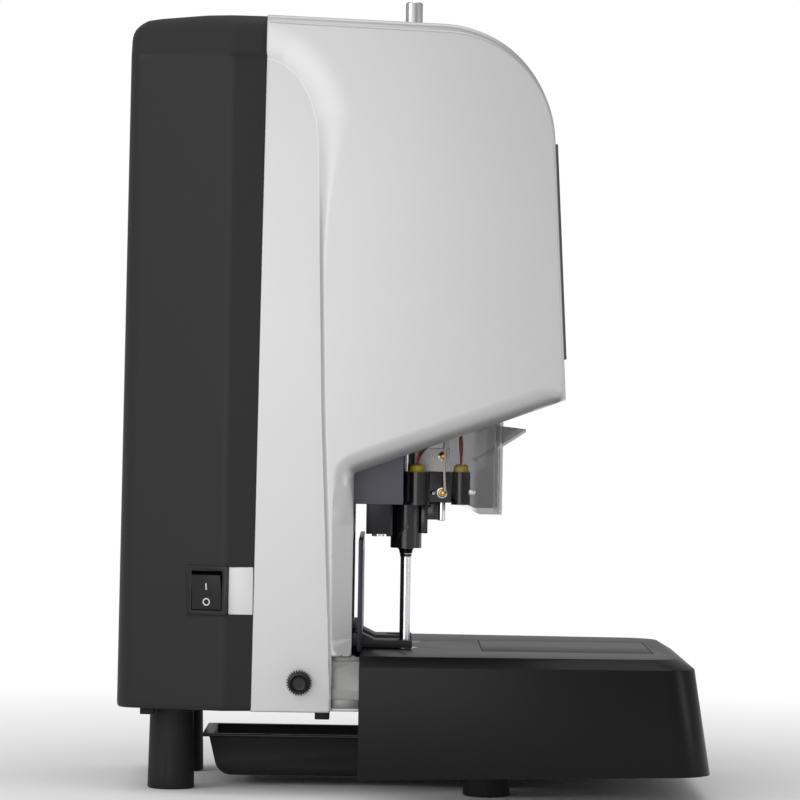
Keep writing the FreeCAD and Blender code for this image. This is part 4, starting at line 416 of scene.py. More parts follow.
def repeated(name, unit, start, step, count, look, body="frame"):
    """Geometry Nodes set copies of a unit along a line: screws, slats and the like."""
    tree = bpy.data.node_groups.new(name, "GeometryNodeTree")
    for label, kind, way in (("Unit", "Object", "INPUT"), ("Start", "Vector", "INPUT"),
                             ("Step", "Vector", "INPUT"), ("Count", "Int", "INPUT"),
                             ("Finish", "Material", "INPUT"), ("Geometry", "Geometry", "OUTPUT")):
        tree.interface.new_socket(label, in_out=way, socket_type="NodeSocket" + kind)
    given = add(tree, "NodeGroupInput")
    line = add(tree, "GeometryNodeMeshLine", {"Count": given.outputs["Count"],
                                              "Start Location": given.outputs["Start"],
                                              "Offset": given.outputs["Step"]})
    info = add(tree, "GeometryNodeObjectInfo", {"Object": given.outputs["Unit"]})
    copies = add(tree, "GeometryNodeInstanceOnPoints", {"Points": line.outputs[0],
                                                        "Instance": info.outputs["Geometry"]})
    real = add(tree, "GeometryNodeRealizeInstances", {0: copies.outputs[0]})
    dressed = add(tree, "GeometryNodeSetMaterial", {"Geometry": real.outputs[0],
                                                    "Material": given.outputs["Finish"]})
    add(tree, "NodeGroupOutput", {0: dressed.outputs[0]})
    holder = linked(name, bpy.data.meshes.new(name))
    modifier = holder.modifiers.new("copies", "NODES")
    modifier.node_group = tree
    keys = {item.name: item.identifier for item in tree.interface.items_tree if item.in_out == "INPUT"}
    modifier[keys["Unit"]] = unit
    modifier[keys["Start"]] = [part * MM for part in start]
    modifier[keys["Step"]] = [part * MM for part in step]
    modifier[keys["Count"]] = count
    modifier[keys["Finish"]] = FINISHES[look]
    applied(holder)
    bpy.data.objects.remove(unit)
    mesh = holder.data
    bpy.data.objects.remove(holder)
    mesh.name = name
    return settle(name, mesh, look, body, ())


def screw_head(axis, radius, height):
    """A pan head with a cross recess, made at the origin as the unit that is repeated."""
    count = 24
    levels = [(0.0, [1.0] * count), (0.55, [1.0] * count), (0.85, [0.86] * count), (1.0, [0.6] * count),
              (0.96, [0.12 if step % 6 else 0.42 for step in range(count)])]  # four arms of the cross
    work = bmesh.new()
    rings = []
    for reach, shares in levels:
        ring = [ring_round(axis, (0, 0), reach * height, share * radius, count)[step]
                for step, share in enumerate(shares)]
        rings.append([work.verts.new(Vector(spot) * MM) for spot in ring])
    deep = work.verts.new(Vector(ring_round(axis, (0, 0), 0.45 * height, 0, 1)[0]) * MM)
    for lower, upper in zip(rings, rings[1:]):
        for step in range(count):
            work.faces.new((lower[step], lower[(step + 1) % count], upper[(step + 1) % count], upper[step]))
    work.faces.new(rings[0])
    for step in range(count):
        work.faces.new((rings[-1][step], rings[-1][(step + 1) % count], deep))
    bmesh.ops.recalc_face_normals(work, faces=work.faces)
    mesh = bpy.data.meshes.new("screw_head")
    work.to_mesh(mesh)
    work.free()
    return linked("screw_head", mesh)


# Silver side housings: a lacquered shell with a folded strip along the rear edge

HEAD_HALF = 111.5
RIM = 100.3
JAW_RIM = 88.0
STRIP_DEPTH = 3.0
FOLD = [  # where the strip meets the head, from the rear seam down to the base
    (106, 475.6), (99.4, 475), (89.3, 471.7), (79.9, 463.4), (72, 451), (66.9, 435), (65.4, 416),
    (64.7, 398), (62.7, 324), (60.7, 249), (56.9, 163), (53.6, 85), (52.2, 48),
]
SIDE_CORNERS = [  # corner, its radius, the rounding of the edge that follows, how far out its rim lies
    ((104.2, 53.6), 0, 0.8, RIM), ((100.3, 498.5), 0, 2.0, RIM), ((-82.5, 491.2), 72, 1.6, RIM),
    ((-95.6, 257.0), 7, 14.0, JAW_RIM), ((40.0, 208.0), 3, 13.0, JAW_RIM), ((40.0, 90.0), 0, 1.0, RIM),
    ((52.6, 90.0), 0, 1.6, RIM), ((52.6, 53.6), 1.5, 1.0, RIM),
]


def side_boundary(step=1.6):
    """Points along the housing's outline, each with its edge's rounding and rim."""
    count = len(SIDE_CORNERS)
    arcs = []
    for number, (corner, radius, _, _) in enumerate(SIDE_CORNERS):
        spot = Vector(corner)
        back = (Vector(SIDE_CORNERS[number - 1][0]) - spot).normalized()
        ahead = (Vector(SIDE_CORNERS[(number + 1) % count][0]) - spot).normalized()
        half = math.acos(max(-1, min(1, back.dot(ahead)))) / 2
        if not radius:
            arcs.append([spot])
            continue
        reach = radius / math.tan(half)
        centre = spot + (back + ahead).normalized() * radius / math.sin(half)
        start, end = spot + back * reach, spot + ahead * reach
        first, last = start - centre, end - centre
        sweep = first.angle_signed(last)
        steps = max(2, round(abs(sweep) * radius / step))
        arcs.append([centre + Matrix.Rotation(-sweep * n / steps, 2) @ first for n in range(steps + 1)])
    found = []
    for number in range(count):
        _, _, round_here, rim = SIDE_CORNERS[number]
        arc, after = arcs[number], arcs[(number + 1) % count]
        before = SIDE_CORNERS[number - 1]
        for n, spot in enumerate(arc):
            share = n / (len(arc) - 1) if len(arc) > 1 else 1
            found.append((spot, before[2] + (round_here - before[2]) * share,
                          rim if share > 0.5 else before[3]))
        run = after[0] - arc[-1]
        steps = max(1, round(run.length / step))
        found += [(arc[-1] + run * n / steps, round_here, rim) for n in range(1, steps)]
    blended = []
    total = len(found)
    for number, (spot, _, rim) in enumerate(found):
        near = [found[(number + shift) % total][1] for shift in range(-6, 7)]
        blended.append((spot, sum(near) / len(near), rim))
    return blended


def from_fold(y, z):
    """How far a place is from the fold: above zero on the head, below zero on the strip."""
    spot = Vector((y, z))
    best, side = 1e9, 1
    for start, end in zip(FOLD, FOLD[1:]):
        a, b = Vector(start), Vector(end)
        run = b - a
        share = max(0, min(1, (spot - a).dot(run) / run.length_squared))
        gap = (spot - (a + run * share)).length
        if gap < best - 1e-6:
            best = gap
            side = -1 if run.x * (z - a.y) - run.y * (y - a.x) > 0 else 1
    return side * best


def fold_drop(y, z):
    """The strip lies deeper than the head, and the head rolls down to it."""
    gap = from_fold(y, z)
    roll = 2.4 + 20.0 * max(0, min(1, (z - 330) / 110)) ** 2
    if gap <= -0.6:
        return STRIP_DEPTH
    if gap >= roll:
        return 0.0
    share = (gap + 0.6) / (roll + 0.6)
    return STRIP_DEPTH * (1 - share) ** 2.2


def inside(spot, outline):
    """Whether a flat point lies inside an outline."""
    within = False
    for a, b in zip(outline, outline[1:] + outline[:1]):
        if (a.y > spot.y) != (b.y > spot.y) and spot.x < (b.x - a.x) * (spot.y - a.y) / (b.y - a.y) + a.x:
            within = not within
    return within


def crown(y, z):
    """The head's side isn't flat: it draws in towards its front and its top."""
    return 2.6 * (max(0.0, 50 - y) / 140) ** 2 + 2.4 * (max(0.0, z - 300) / 200) ** 2


def edge_drops(spots, boundary):
    """How far the rounded edges draw the side in at each place."""
    starts = np.array([tuple(spot) for spot, _, _ in boundary])
    radii = np.array([rounding for _, rounding, _ in boundary])
    run = np.roll(starts, -1, axis=0) - starts
    rise = np.roll(radii, -1) - radii
    drops = []
    for spot in spots:
        away = np.array(tuple(spot)) - starts
        share = np.clip((away * run).sum(axis=1) / (run ** 2).sum(axis=1), 0, 1)
        gap = np.hypot(*(away - run * share[:, None]).T)
        radius = radii + rise * share
        within = np.maximum(0, radius - gap)
        depth = radius - np.sqrt(np.maximum(0, radius ** 2 - within ** 2))
        # Down the column the wide round becomes a flat bevel with a crisp crease
        flat = np.clip((radius - 4) / 6, 0, 1) * max(0.0, min(1.0, (200 - spot[1]) / 25))
        drops.append(float((depth + (0.95 * within - depth) * flat).max()))
    return drops


def place_key(spot):
    """A flat point's place as a key, to find the same point again after the mesh is made."""
    return round(spot.x, 3), round(spot.y, 3)


def inward_at(boundary, number):
    """The direction into the side, square to its boundary."""
    along = boundary[(number + 1) % len(boundary)][0] - boundary[number - 1][0]
    return Vector((-along.y, along.x)).normalized()


ROUND_ROWS = [1 - math.cos(math.radians(turn)) for turn in (12, 24, 36, 48, 60, 72, 84, 90)]
ROUND_ROWS += [0.965, 1.03, 1.12]  # rows of points along a wide rounding, as shares of its radius
SMALL_ROWS = (0.13, 0.5, 1.0, 1.7)  # rows of points along a small rounding, as shares of its radius
FOLD_ROWS = (-1.2, -0.6, 0.0, 0.7, 1.5, 2.5, 3.7, 5.2, 7, 9.5, 12.5, 16)  # rows along the fold, in mm
SLOPE_STEP = 0.05  # mm to either side, to take the surface's slope
EDGE_NUDGE = 0.08  # mm that the slope of an edge point is taken inside the edge


def side_surface(boundary):
    """The side's outer face as flat points, their depths, triangles and slopes."""
    total = len(boundary)
    outline = [spot for spot, _, _ in boundary]
    kept = [spot.copy() for spot in outline]
    grown = kdtree.KDTree(60000)
    for number, spot in enumerate(kept):
        grown.insert((spot.x, spot.y, 0), number)
    grown.balance()

    def keep(spots, apart):
        chosen = []
        for spot in spots:
            if inside(spot, outline) and grown.find((spot.x, spot.y, 0))[2] > apart:
                chosen.append(spot)
        for spot in chosen:
            grown.insert((spot.x, spot.y, 0), len(kept))
            kept.append(spot)
        grown.balance()

    for share, small in [(share, False) for share in ROUND_ROWS] + [(share, True) for share in SMALL_ROWS]:
        keep([spot + inward_at(boundary, number) * share * rounding
              for number, (spot, rounding, _) in enumerate(boundary) if (rounding < 3) == small],
             0.15 if small else 0.09)
    row = []
    for start, end in zip(FOLD, FOLD[1:]):
        a, b = Vector(start), Vector(end)
        steps = max(1, round((b - a).length / 2.5))
        square = Vector(((b - a).y, -(b - a).x)).normalized()
        row += [a + (b - a) * n / steps + square * shift for n in range(steps) for shift in FOLD_ROWS]
    keep(row, 0.3)
    keep([Vector((-96 + 3.3 * n + 0.01 * (m % 7), 55 + 3.3 * m)) for n in range(61) for m in range(136)], 1.7)
    flat, _, triangles, *_ = geometry.delaunay_2d_cdt(kept, [(n, (n + 1) % total) for n in range(total)],
                                                      [list(range(total))], 1, 1e-5)
    # The shading follows the true slope, so the thin triangles along the edges don't show
    inward = {place_key(spot): inward_at(boundary, number) * EDGE_NUDGE
              for number, spot in enumerate(outline)}
    seats = [spot + inward.get(place_key(spot), Vector((0, 0))) for spot in flat]
    slopes = []
    for shift in (Vector((SLOPE_STEP, 0)), Vector((0, SLOPE_STEP))):
        ahead = side_depths([seat + shift for seat in seats], boundary)
        behind = side_depths([seat - shift for seat in seats], boundary)
        slopes.append([(a - b) / (2 * SLOPE_STEP) for a, b in zip(ahead, behind)])
    return flat, side_depths(flat, boundary), triangles, list(zip(*slopes))


def side_depths(spots, boundary):
    """How far in from the head's widest plane the side lies at each place, in mm."""
    return [drop + fold_drop(spot.x, spot.y) + crown(spot.x, spot.y)
            for spot, drop in zip(spots, edge_drops(spots, boundary))]


SIDE_BOUNDARY = side_boundary()
SIDE_SURFACE = side_surface(SIDE_BOUNDARY)


def side_housing(name, side, node):
    """One side of the head and column: the outer face, its rim turned in, and a 2 mm wall."""
    total = len(SIDE_BOUNDARY)
    flat, depths, triangles, slopes = SIDE_SURFACE
    solid = [(side * (HEAD_HALF - depth), spot.x, spot.y) for spot, depth in zip(flat, depths)]
    faces = [list(face) for face in triangles]
    order = {place_key(spot): number for number, spot in enumerate(flat)}
    ring = [order[place_key(spot)] for spot, _, _ in SIDE_BOUNDARY]
    rim = []
    for number, (spot, _, reach) in enumerate(SIDE_BOUNDARY):
        outer = abs(solid[ring[number]][0])
        rim.append(len(solid))
        solid.append((side * min(reach, outer - 1.0), spot.x, spot.y))
    for number in range(total):
        ahead = (number + 1) % total
        faces.append([ring[number], ring[ahead], rim[ahead], rim[number]])
    if side > 0:
        faces = [face[::-1] for face in faces]
    thing = piece(name, solid, faces, "silver_lacquer", stands_for=(node,), slot="silver_paint", sharp=50)
    walled(thing, 2.0)
    facing = sum(face.normal.x * face.area for face in thing.data.polygons
                 if abs(face.center.x) > (HEAD_HALF - 1) * MM)
    if facing * side < 0:
        thing.data.flip_normals()
    smooth(thing, 50)
    normals = [(0, 0, 0)] * len(thing.data.loops)
    for face in thing.data.polygons[:len(triangles)]:
        for corner in face.loop_indices:
            slope = slopes[thing.data.loops[corner].vertex_index]
            normals[corner] = Vector((side, *slope)).normalized()
    thing.data.normals_split_custom_set(normals)
    return thing


side_housing("left_housing_shell", -1, "housing_left")
side_housing("right_housing_shell", 1, "housing_right")
# The tab's lacquer is painted lighter than the housings': painted light where it lies flat to the lamps
slab("switch_tab", (-109.3, 103.7, 116.0), (-107.6, 119.4, 146.6), "silver_tab_painted_highlight", width=0.5,
     shape=lambda x, y, z: (x - (1.45 if y > 110 else 0.0), y, z), slot="silver_paint")


# Rear cover: a faceted black shell, open towards the housings

REAR_LEVELS = [  # height, how far the sides draw in, how far the back draws in
    (54.0, 1.6, 1.3), (54.6, 0.7, 0.6), (56.0, 0.15, 0.1), (58.0, 0, 0), (200.0, 0, 0), (340.0, 0, 0),
    (464.0, 0, 0), (473.5, 0, 0), (475.5, 0.2, 0), (477.0, 0.75, 0), (478.6, 1.5, 0), (480.2, 2.35, 0),
    (488.0, 6.4, 0), (491.0, 7.9, 0.25), (494.0, 9.5, 0.9), (496.0, 10.6, 1.7), (497.8, 11.8, 2.9),
    (499.6, 13.2, 4.4), (501.2, 14.8, 6.4), (502.6, 17.4, 8.8), (503.3, 22.0, 11.8),
]


def rear_plan(z, draw, back_draw):
    """The cover's plan at a height, from the left seam round the back to the right seam."""
    back = 191.9 - 3.0 * min(1, max(0, (z - 54) / 422)) - back_draw
    seam = 104.3 - 3.9 * (z - 54) / 448
    taper = 19.0 / 69.2
    corners = [((-(108.6 - draw), seam), 0), ((-(112.0 - draw), 122.7), 12),
               ((-(112.0 - draw) + (back - 122.7) * taper, back), 14)]
    corners += [((-across, along), radius) for (across, along), radius in reversed(corners)]
    plan = []
    for number, (corner, radius) in enumerate(corners):
        spot = Vector(corner)
        if not radius:
            plan.append(spot)
            continue
        back_way = (Vector(corners[number - 1][0]) - spot).normalized()
        ahead = (Vector(corners[number + 1][0]) - spot).normalized()
        half = math.acos(back_way.dot(ahead)) / 2
        reach = radius / math.tan(half)
        centre = spot + (back_way + ahead).normalized() * radius / math.sin(half)
        first = spot + back_way * reach - centre
        sweep = first.angle_signed(spot + ahead * reach - centre)
        plan += [centre + Matrix.Rotation(-sweep * n / 8, 2) @ first for n in range(9)]
    dense = []
    for a, b in zip(plan, plan[1:]):
        steps = 6 if (b - a).length > 12 else 1
        dense += [a + (b - a) * n / steps for n in range(steps)]
    return dense + [plan[-1]]


def box_cutter(name, low, high, turn=None, seat=None):
    """A block to cut with, between two corners. It may be turned about Z, in degrees, and seated."""
    work = bmesh.new()
    bmesh.ops.create_cube(work, size=1)
    size = Vector(high) - Vector(low)
    middle = (Vector(high) + Vector(low)) / 2
    place = Matrix.Translation(middle * MM) @ Matrix.Diagonal((*(size * MM), 1))
    if turn is not None:
        place = Matrix.Translation(Vector(seat) * MM) @ Matrix.Rotation(math.radians(turn), 4, "Z") @ place
    bmesh.ops.transform(work, matrix=place, verts=work.verts)
    mesh = bpy.data.meshes.new(name)
    work.to_mesh(mesh)
    work.free()
    return linked(name, mesh)


def carve(thing, cutters):
    """Cut blocks out of a piece."""
    for number, cutter in enumerate(cutters):
        hole = thing.modifiers.new(f"hole_{number}", "BOOLEAN")
        hole.object = cutter
        hole.solver = "EXACT"
    applied(thing)
    for cutter in cutters:
        bpy.data.objects.remove(cutter)


SWITCH_SEAT = (-109.172, 133.0, 131.2)
SWITCH_TURN = -15.353


def rear_shell():
    """The cover's wall with its vents and the gaps for inlet, switch and tab."""
    rings = []
    for z, draw, back_draw in REAR_LEVELS:
        slope = 0.0625 * min(1, max(0, (z - 476) / 24))
        rings.append([(spot.x, spot.y, z - slope * max(0, spot.y - 140))
                      for spot in rear_plan(z, draw, back_draw)])
    across = len(rings[0])
    points = [spot for ring in rings for spot in ring]
    faces = []
    for level in range(len(rings) - 1):
        for n in range(across - 1):
            low = level * across + n
            faces.append((low, low + 1, low + across + 1, low + across))
    faces.append(range((len(rings) - 1) * across, len(rings) * across))
    thing = piece("rear_cover_shell", points, faces, "black_grained_abs", stands_for=("rear_cover",),
                  slot="black_powder_coat", sharp=60)
    if sum(face.normal.y * face.area for face in thing.data.polygons) < 0:
        thing.data.flip_normals()
    walled(thing, 2.4)
    cutters = [box_cutter(f"vent_{n}", (-40, 180, 300 + 12 * n), (40, 200, 304 + 12 * n))
               for n in range(10)]
    cutters.append(box_cutter("inlet_gap", (31.3, 180, 81.9), (58.7, 200, 102.1)))
    cutters.append(box_cutter("switch_gap", (-6, -11.7, -13.7), (6, 11.7, 13.7), SWITCH_TURN, SWITCH_SEAT))
    cutters.append(box_cutter("tab_gap", (-114, 95, 115.9), (-107.45, 119.7, 146.7)))
    carve(thing, cutters)
    smooth(thing, 34)


rear_shell()

# Carried pieces that only need their edges eased

fascia = softened("fascia", "silver_lacquer", 0.5)
for vertex in fascia.data.vertices:  # its front stands back a little, behind the control panel
    vertex.co.y += 0.0014 * min(1, max(0, (-0.055 - vertex.co.y) / 0.025))
softened("base_cover", "black_table_abs", 0.7, 3, angle=24)
softened("base_hatch", "black_table_abs", 0.35)
softened("control_panel", "panel_film", 0.5)
softened("side_rails", "brushed_rail", 0.5)
softened("chassis_plate", "zinc_sheet", 0.3)
softened("fence", "blue_black_epoxy", 0.25)
softened("press_foot", "black_painted_steel", 0.35)
softened("guide_bar", "blackened_steel", 0.4)
softened("side_frame_left", "grey_painted_steel", 0.3)
softened("side_frame_right", "grey_painted_steel", 0.3)
softened("column_plate", "grey_painted_steel", 0.3)
softened("motor_plate", "zinc_sheet", 0.3)
softened("rivet_carriage", "milled_aluminium", 0.4)
softened("drill_carriage", "milled_aluminium", 0.4)
softened("heater_block", "black_enamel", 0.6, 3)
softened("insulator", "white_ceramic", 0.5)
softened("tray_hanger", "black_painted_steel", 0.3)
softened("guide_blocks", "zinc_sheet", 0.3)
softened("tray", "black_smooth_abs", 0.6)
softened("legs", "black_rubber", 0.8, 3)
softened("inlet_sleeve", "turned_aluminium", 0.35)
softened("lift_motors", "blackened_steel", 0.8)
softened("drill_motor", "blackened_steel", 0.8)
softened("drill_chuck", "blackened_steel", 0.4)
softened("switch_frame", "black_smooth_abs", 0.35)
softened("switch_rocker", "black_smooth_abs", 0.3)
softened("power_inlet", "black_smooth_abs", 0.3)
softened("power_supply", "zinc_sheet", 1.0)
softened("circuit_board", "solder_mask", 0.2)
softened("guard_screws", "ground_steel", 0.5)
for node, look in (("start_key", "green_key"), ("stop_key", "red_key"),
                   ("up_key", "grey_key"), ("down_key", "grey_key")):
    key = softened(node, look, 0.2)
    front = min(vertex.co.y for vertex in key.data.vertices)
    for vertex in key.data.vertices:  # a film covers them, so they rise only a little over the panel
        if vertex.co.y < front + 0.0012:
            vertex.co.y += 0.0013
softened("table_plate", "zinc_sheet", 0.3)
for node, look in {
    "guide_rods": "ground_steel", "rivet_screw": "ground_steel", "drill_screw": "ground_steel",
    "feed_tube": "ground_steel", "lower_die": "ground_steel", "cutting_pad": "white_nylon",
    "drill_spindle": "ground_steel", "drill_bit": "ground_steel", "motor_pulley": "milled_aluminium",
    "drill_belt": "black_rubber", "margin_shaft": "ground_steel", "display_window": "display_glass",
    "heaters": "black_enamel", "rivet_hub": "black_enamel", "rivet_needle": "ground_steel",
}.items():
    plain(node, look)

# Three screws hold the rear cover's back

repeated("cover_screws", screw_head("y", 3.4, 2.0), (-66, 187.5, 440), (66, 0, 0), 3, "blackened_steel")

# The guard's sheet is bent once at each front corner

def bent_guard():
    """Its cut edges are pale, and the left wing is clear beside the heater."""
    thing = softened("guard", "smoked_acrylic", 0.25)
    mesh = thing.data
    mesh.materials.append(FINISHES["acrylic_edge"])
    mesh.materials.append(FINISHES["graded_acrylic"])
    for face in mesh.polygons:
        spots = [mesh.vertices[number].co for number in face.vertices]
        wide = sum(max(spot[k] for spot in spots) - min(spot[k] for spot in spots) > 0.0023 for k in range(3))
        if wide < 2 and abs(face.normal.x) < 0.3 and (face.center.y > -0.0503 or abs(face.normal.z) > 0.8):
            face.material_index = 1
        elif face.center.x < -0.07:
            face.material_index = 2


bent_guard()
# Pale slivers just inside each bend: a painted highlight for the light line that the bent sheet shows
for number, y in enumerate((-53.6, -51.3)):
    slab(f"guard_bend_line_{number}", (-82.0, y - 0.16, 183.2), (-81.9, y + 0.16, 262), "acrylic_edge",
         width=0.03, slot="smoked_acrylic")
lathe("guard_wing_screw", "x", (-36.7, 196.4),
      [(-81.6, 1.6), (-82.2, 2.3), (-82.8, 2.2), (-83.4, 1.5), (-83.5, 0.9), (-82.9, 0.7)],
      "turned_aluminium")

# Knurled knob with a dished cap

KNOB_AXIS = (73.1, 73.0)  # Y and Z of the knob's shaft
TOOTH = (0.0, 0.0, 0.7, 1.0, 1.0, 0.7)  # depth round one knurl, as shares
TEETH = 28


def knurled_knob():
    """The knob as rings of (X, radius, depth of the knurls)."""
    count = TEETH * len(TOOTH)
    rings = ((-108.9, 6.7, 0.0), (-109.2, 8.2, 1.4), (-115.3, 8.2, 1.4), (-115.9, 7.7, 0.9),
             (-116.0, 6.7, 0.0), (-116.3, 6.3, 0.0), (-121.2, 6.2, 0.0), (-121.7, 5.9, 0.0),
             (-121.9, 5.5, 0.0), (-121.6, 5.1, 0.0), (-120.4, 4.6, 0.0), (-120.1, 4.1, 0.0),
             (-120.2, 2.5, 0.0))
    points = []
    for x, radius, depth in rings:
        for step in range(count):
            turn = 2 * math.pi * step / count
            reach = radius - depth * TOOTH[step % len(TOOTH)]
            points.append((x, KNOB_AXIS[0] + reach * math.cos(turn), KNOB_AXIS[1] + reach * math.sin(turn)))
    faces = [(ring * count + step, ring * count + (step + 1) % count, (ring + 1) * count + (step + 1) % count,
              (ring + 1) * count + step) for ring in range(len(rings) - 1) for step in range(count)]
    faces += [range(count), range((len(rings) - 1) * count, len(rings) * count)]
    piece("knurled_knob", points, faces, "black_smooth_abs", body_of("margin_knob"), ("margin_knob",),
          slot_of("margin_knob"), 40)


knurled_knob()

# Under the rivet carriage: the needle's collet, the hub's arms and the clamp with its pin

UNIT = body_of("rivet_hub")
HUB = (-32.0, 5.4)
lathe("needle_collet", "z", HUB, [(158.1, 5.15), (157.3, 5.15), (156.3, 4.5), (154.9, 4.35), (154.3, 4.0),
                                  (152.2, 3.75), (152.0, 3.4)], "black_enamel", UNIT, sharp=30)
slab("hub_arm_rear", (-38, 14.5, 165.4), (-26, 18.6, 187.8), "black_enamel", UNIT)
slab("hub_arm_front", (-38, -8.7, 167.8), (-26, -4.2, 188.2), "black_enamel", UNIT)
slab("clamp_block", (-38, -15.2, 177.0), (-26, -8.4, 188.4), "black_enamel", UNIT)
lathe("clamp_pin", "z", (-32.0, -17.7), [(176.4, 2.1), (176.8, 2.65), (188.6, 2.65), (188.8, 2.3)],
      "ground_steel", UNIT)


def on_hub(x, y, z):
    """A place on the hub's round side, turned towards the front left. X is the height over it."""
    return HUB[0] - 0.62 * (10.1 + x) + 0.785 * y, HUB[1] - 0.785 * (10.1 + x) - 0.62 * y, 173.9 + z


lathe("hub_grub_screw", "x", (0.0, 0.0), [(-0.6, 1.5), (0.25, 1.5), (0.3, 1.2), (-0.9, 1.0), (-1.0, 0.4)],
      "blackened_steel", UNIT, count=24, shape=on_hub)


def brass_screw(name, reach, spot, radius):
    """A washer and a pan head with a turned recess, facing the left side."""
    stands_for = ("terminal_screws",) if name == "lower_terminal" else ()
    lathe(name + "_washer", "x", spot, [(reach + 3.0, radius), (reach + 1.9, radius),
                                        (reach + 1.8, radius - 0.15), (reach + 1.8, radius * 0.6)],
          "ground_steel", UNIT, count=32)
    lathe(name + "_head", "x", spot, [(reach + 2.0, radius * 0.78), (reach + 0.9, radius * 0.78),
                                      (reach + 0.25, radius * 0.62), (reach + 0.05, radius * 0.42),
                                      (reach + 0.9, radius * 0.3), (reach + 1.0, 0.1)],
          "turned_brass", UNIT, stands_for, slot_of("terminal_screws"), 32, 30)


brass_screw("lower_terminal", -47.0, (-17.8, 195.0), 3.6)
brass_screw("upper_terminal", -46.0, (-17.8, 219.0), 2.9)
lathe("pointed_terminal", "x", (-11.7, 195.0),
      [(-44.0, 1.7), (-48.0, 1.7), (-48.3, 1.3), (-50.2, 1.25), (-50.4, 0.8), (-53.0, 0.3)],
      "ground_steel", UNIT, count=28)


def taped_cap(name, spot, stands_for=()):
    """Yellow tape wound over the heater's end: uneven turns, pressed in at the top."""
    x, y = spot

    def wobble(px, py, pz):
        turn = math.atan2(py - y, px - x)
        return (x + (px - x) * (1 + 0.05 * math.sin(3 * turn + pz)),
                y + (py - y) * (1 + 0.05 * math.sin(2 * turn - 0.7 * pz)),
                pz + 0.35 * math.sin(2.3 * turn) * (pz > 210))

    lathe(name, "z", spot, [(207.6, 4.7), (208.9, 4.98), (209.6, 4.85), (210.3, 4.98), (211.4, 4.9),
                            (212.4, 4.7), (213.2, 4.1), (213.5, 3.0), (212.8, 1.8)], "yellow_tape",
          body_of("heater_caps"), stands_for, slot_of("heater_caps"), shape=wobble, sharp=60)


taped_cap("heater_cap_left", (-52.4, -1.0), ("heater_caps",))
taped_cap("heater_cap_front", (-32.0, -30.3))

# Folded flanges on the rails' outer faces
for side, near, far in (("left", -100.6, -99.4), ("right", 99.4, 100.6)):
    for number, (low, high) in enumerate(((86.4, 89.4), (56.4, 61.6))):
        slab(f"rail_flange_{side}_{number}", (near, 34.8, low), (far, 52.3, high), "brushed_rail", width=0.3)

# Wires of the heaters and the bundle behind the fence

LEADS = (  # name, finish, radius, route
    ("lead_left_a", "red_silicone", 0.75,
     [(-53.9, -1.0, 213.5), (-53.9, -1.4, 219), (-53.4, -4.6, 225.5), (-52.2, -11, 231),
      (-51.0, -18, 236), (-49.6, -23, 241), (-48.8, -26, 246)]),
    ("lead_left_b", "dark_silicone", 0.75,
     [(-50.8, -1.0, 213.5), (-50.8, -1.8, 218), (-50.6, -5.6, 223.5), (-50.2, -11.5, 228),
      (-49.6, -17.5, 232), (-48.6, -22, 238), (-48.0, -23.5, 243)]),
    ("lead_front_a", "red_silicone", 0.8,
     [(-33.4, -30.3, 213.5), (-33.4, -30.4, 219), (-33.8, -30.9, 226), (-34.6, -30.1, 233),
      (-35.4, -28.8, 240)]),
    ("lead_front_b", "red_silicone", 0.8,
     [(-30.4, -30.3, 213.5), (-30.3, -30.2, 220), (-30.0, -29.4, 227), (-30.1, -29.6, 234),
      (-31.4, -28.6, 240)]),
    ("lead_white", "white_braid", 0.8,
     [(-47.2, -19.6, 196.0), (-47.6, -19.4, 200), (-47.5, -19.0, 208), (-47.4, -19.2, 218),
      (-47.5, -19.6, 228), (-48.4, -20.0, 236)]),
)
for number, (name, look, radius, route) in enumerate(LEADS):
    wire(name, route, radius, look, "rivet_unit", ("heater_leads",) if number == 0 else ())
wire("bundle_sleeve", [(-68.5, 57.8, 94), (-68.5, 51, 94.5), (-68.6, 43.5, 98), (-68.4, 41.6, 108),
                       (-69.1, 41.0, 124), (-69.3, 41.0, 138), (-68.6, 41.6, 152), (-68.2, 41.9, 164),
                       (-68.4, 43.8, 176), (-68.5, 50, 181.6), (-68.5, 57.8, 182)],
     1.6, "pink_sleeving", "frame", ("wire_bundle",))

# Small fittings that the photograph shows

for side, x in (("left", -92.0), ("right", 92.0)):
    slab(f"front_bumper_{side}", (x - 5, 53.5, 48.4), (x + 5, 63.0, 54.0), "black_rubber", width=0.6)
    slab(f"rear_bumper_{side}", (x * 0.86 - 5, 167.7, 49.0), (x * 0.86 + 5, 176.8, 54.0), "black_rubber",
         width=0.6)


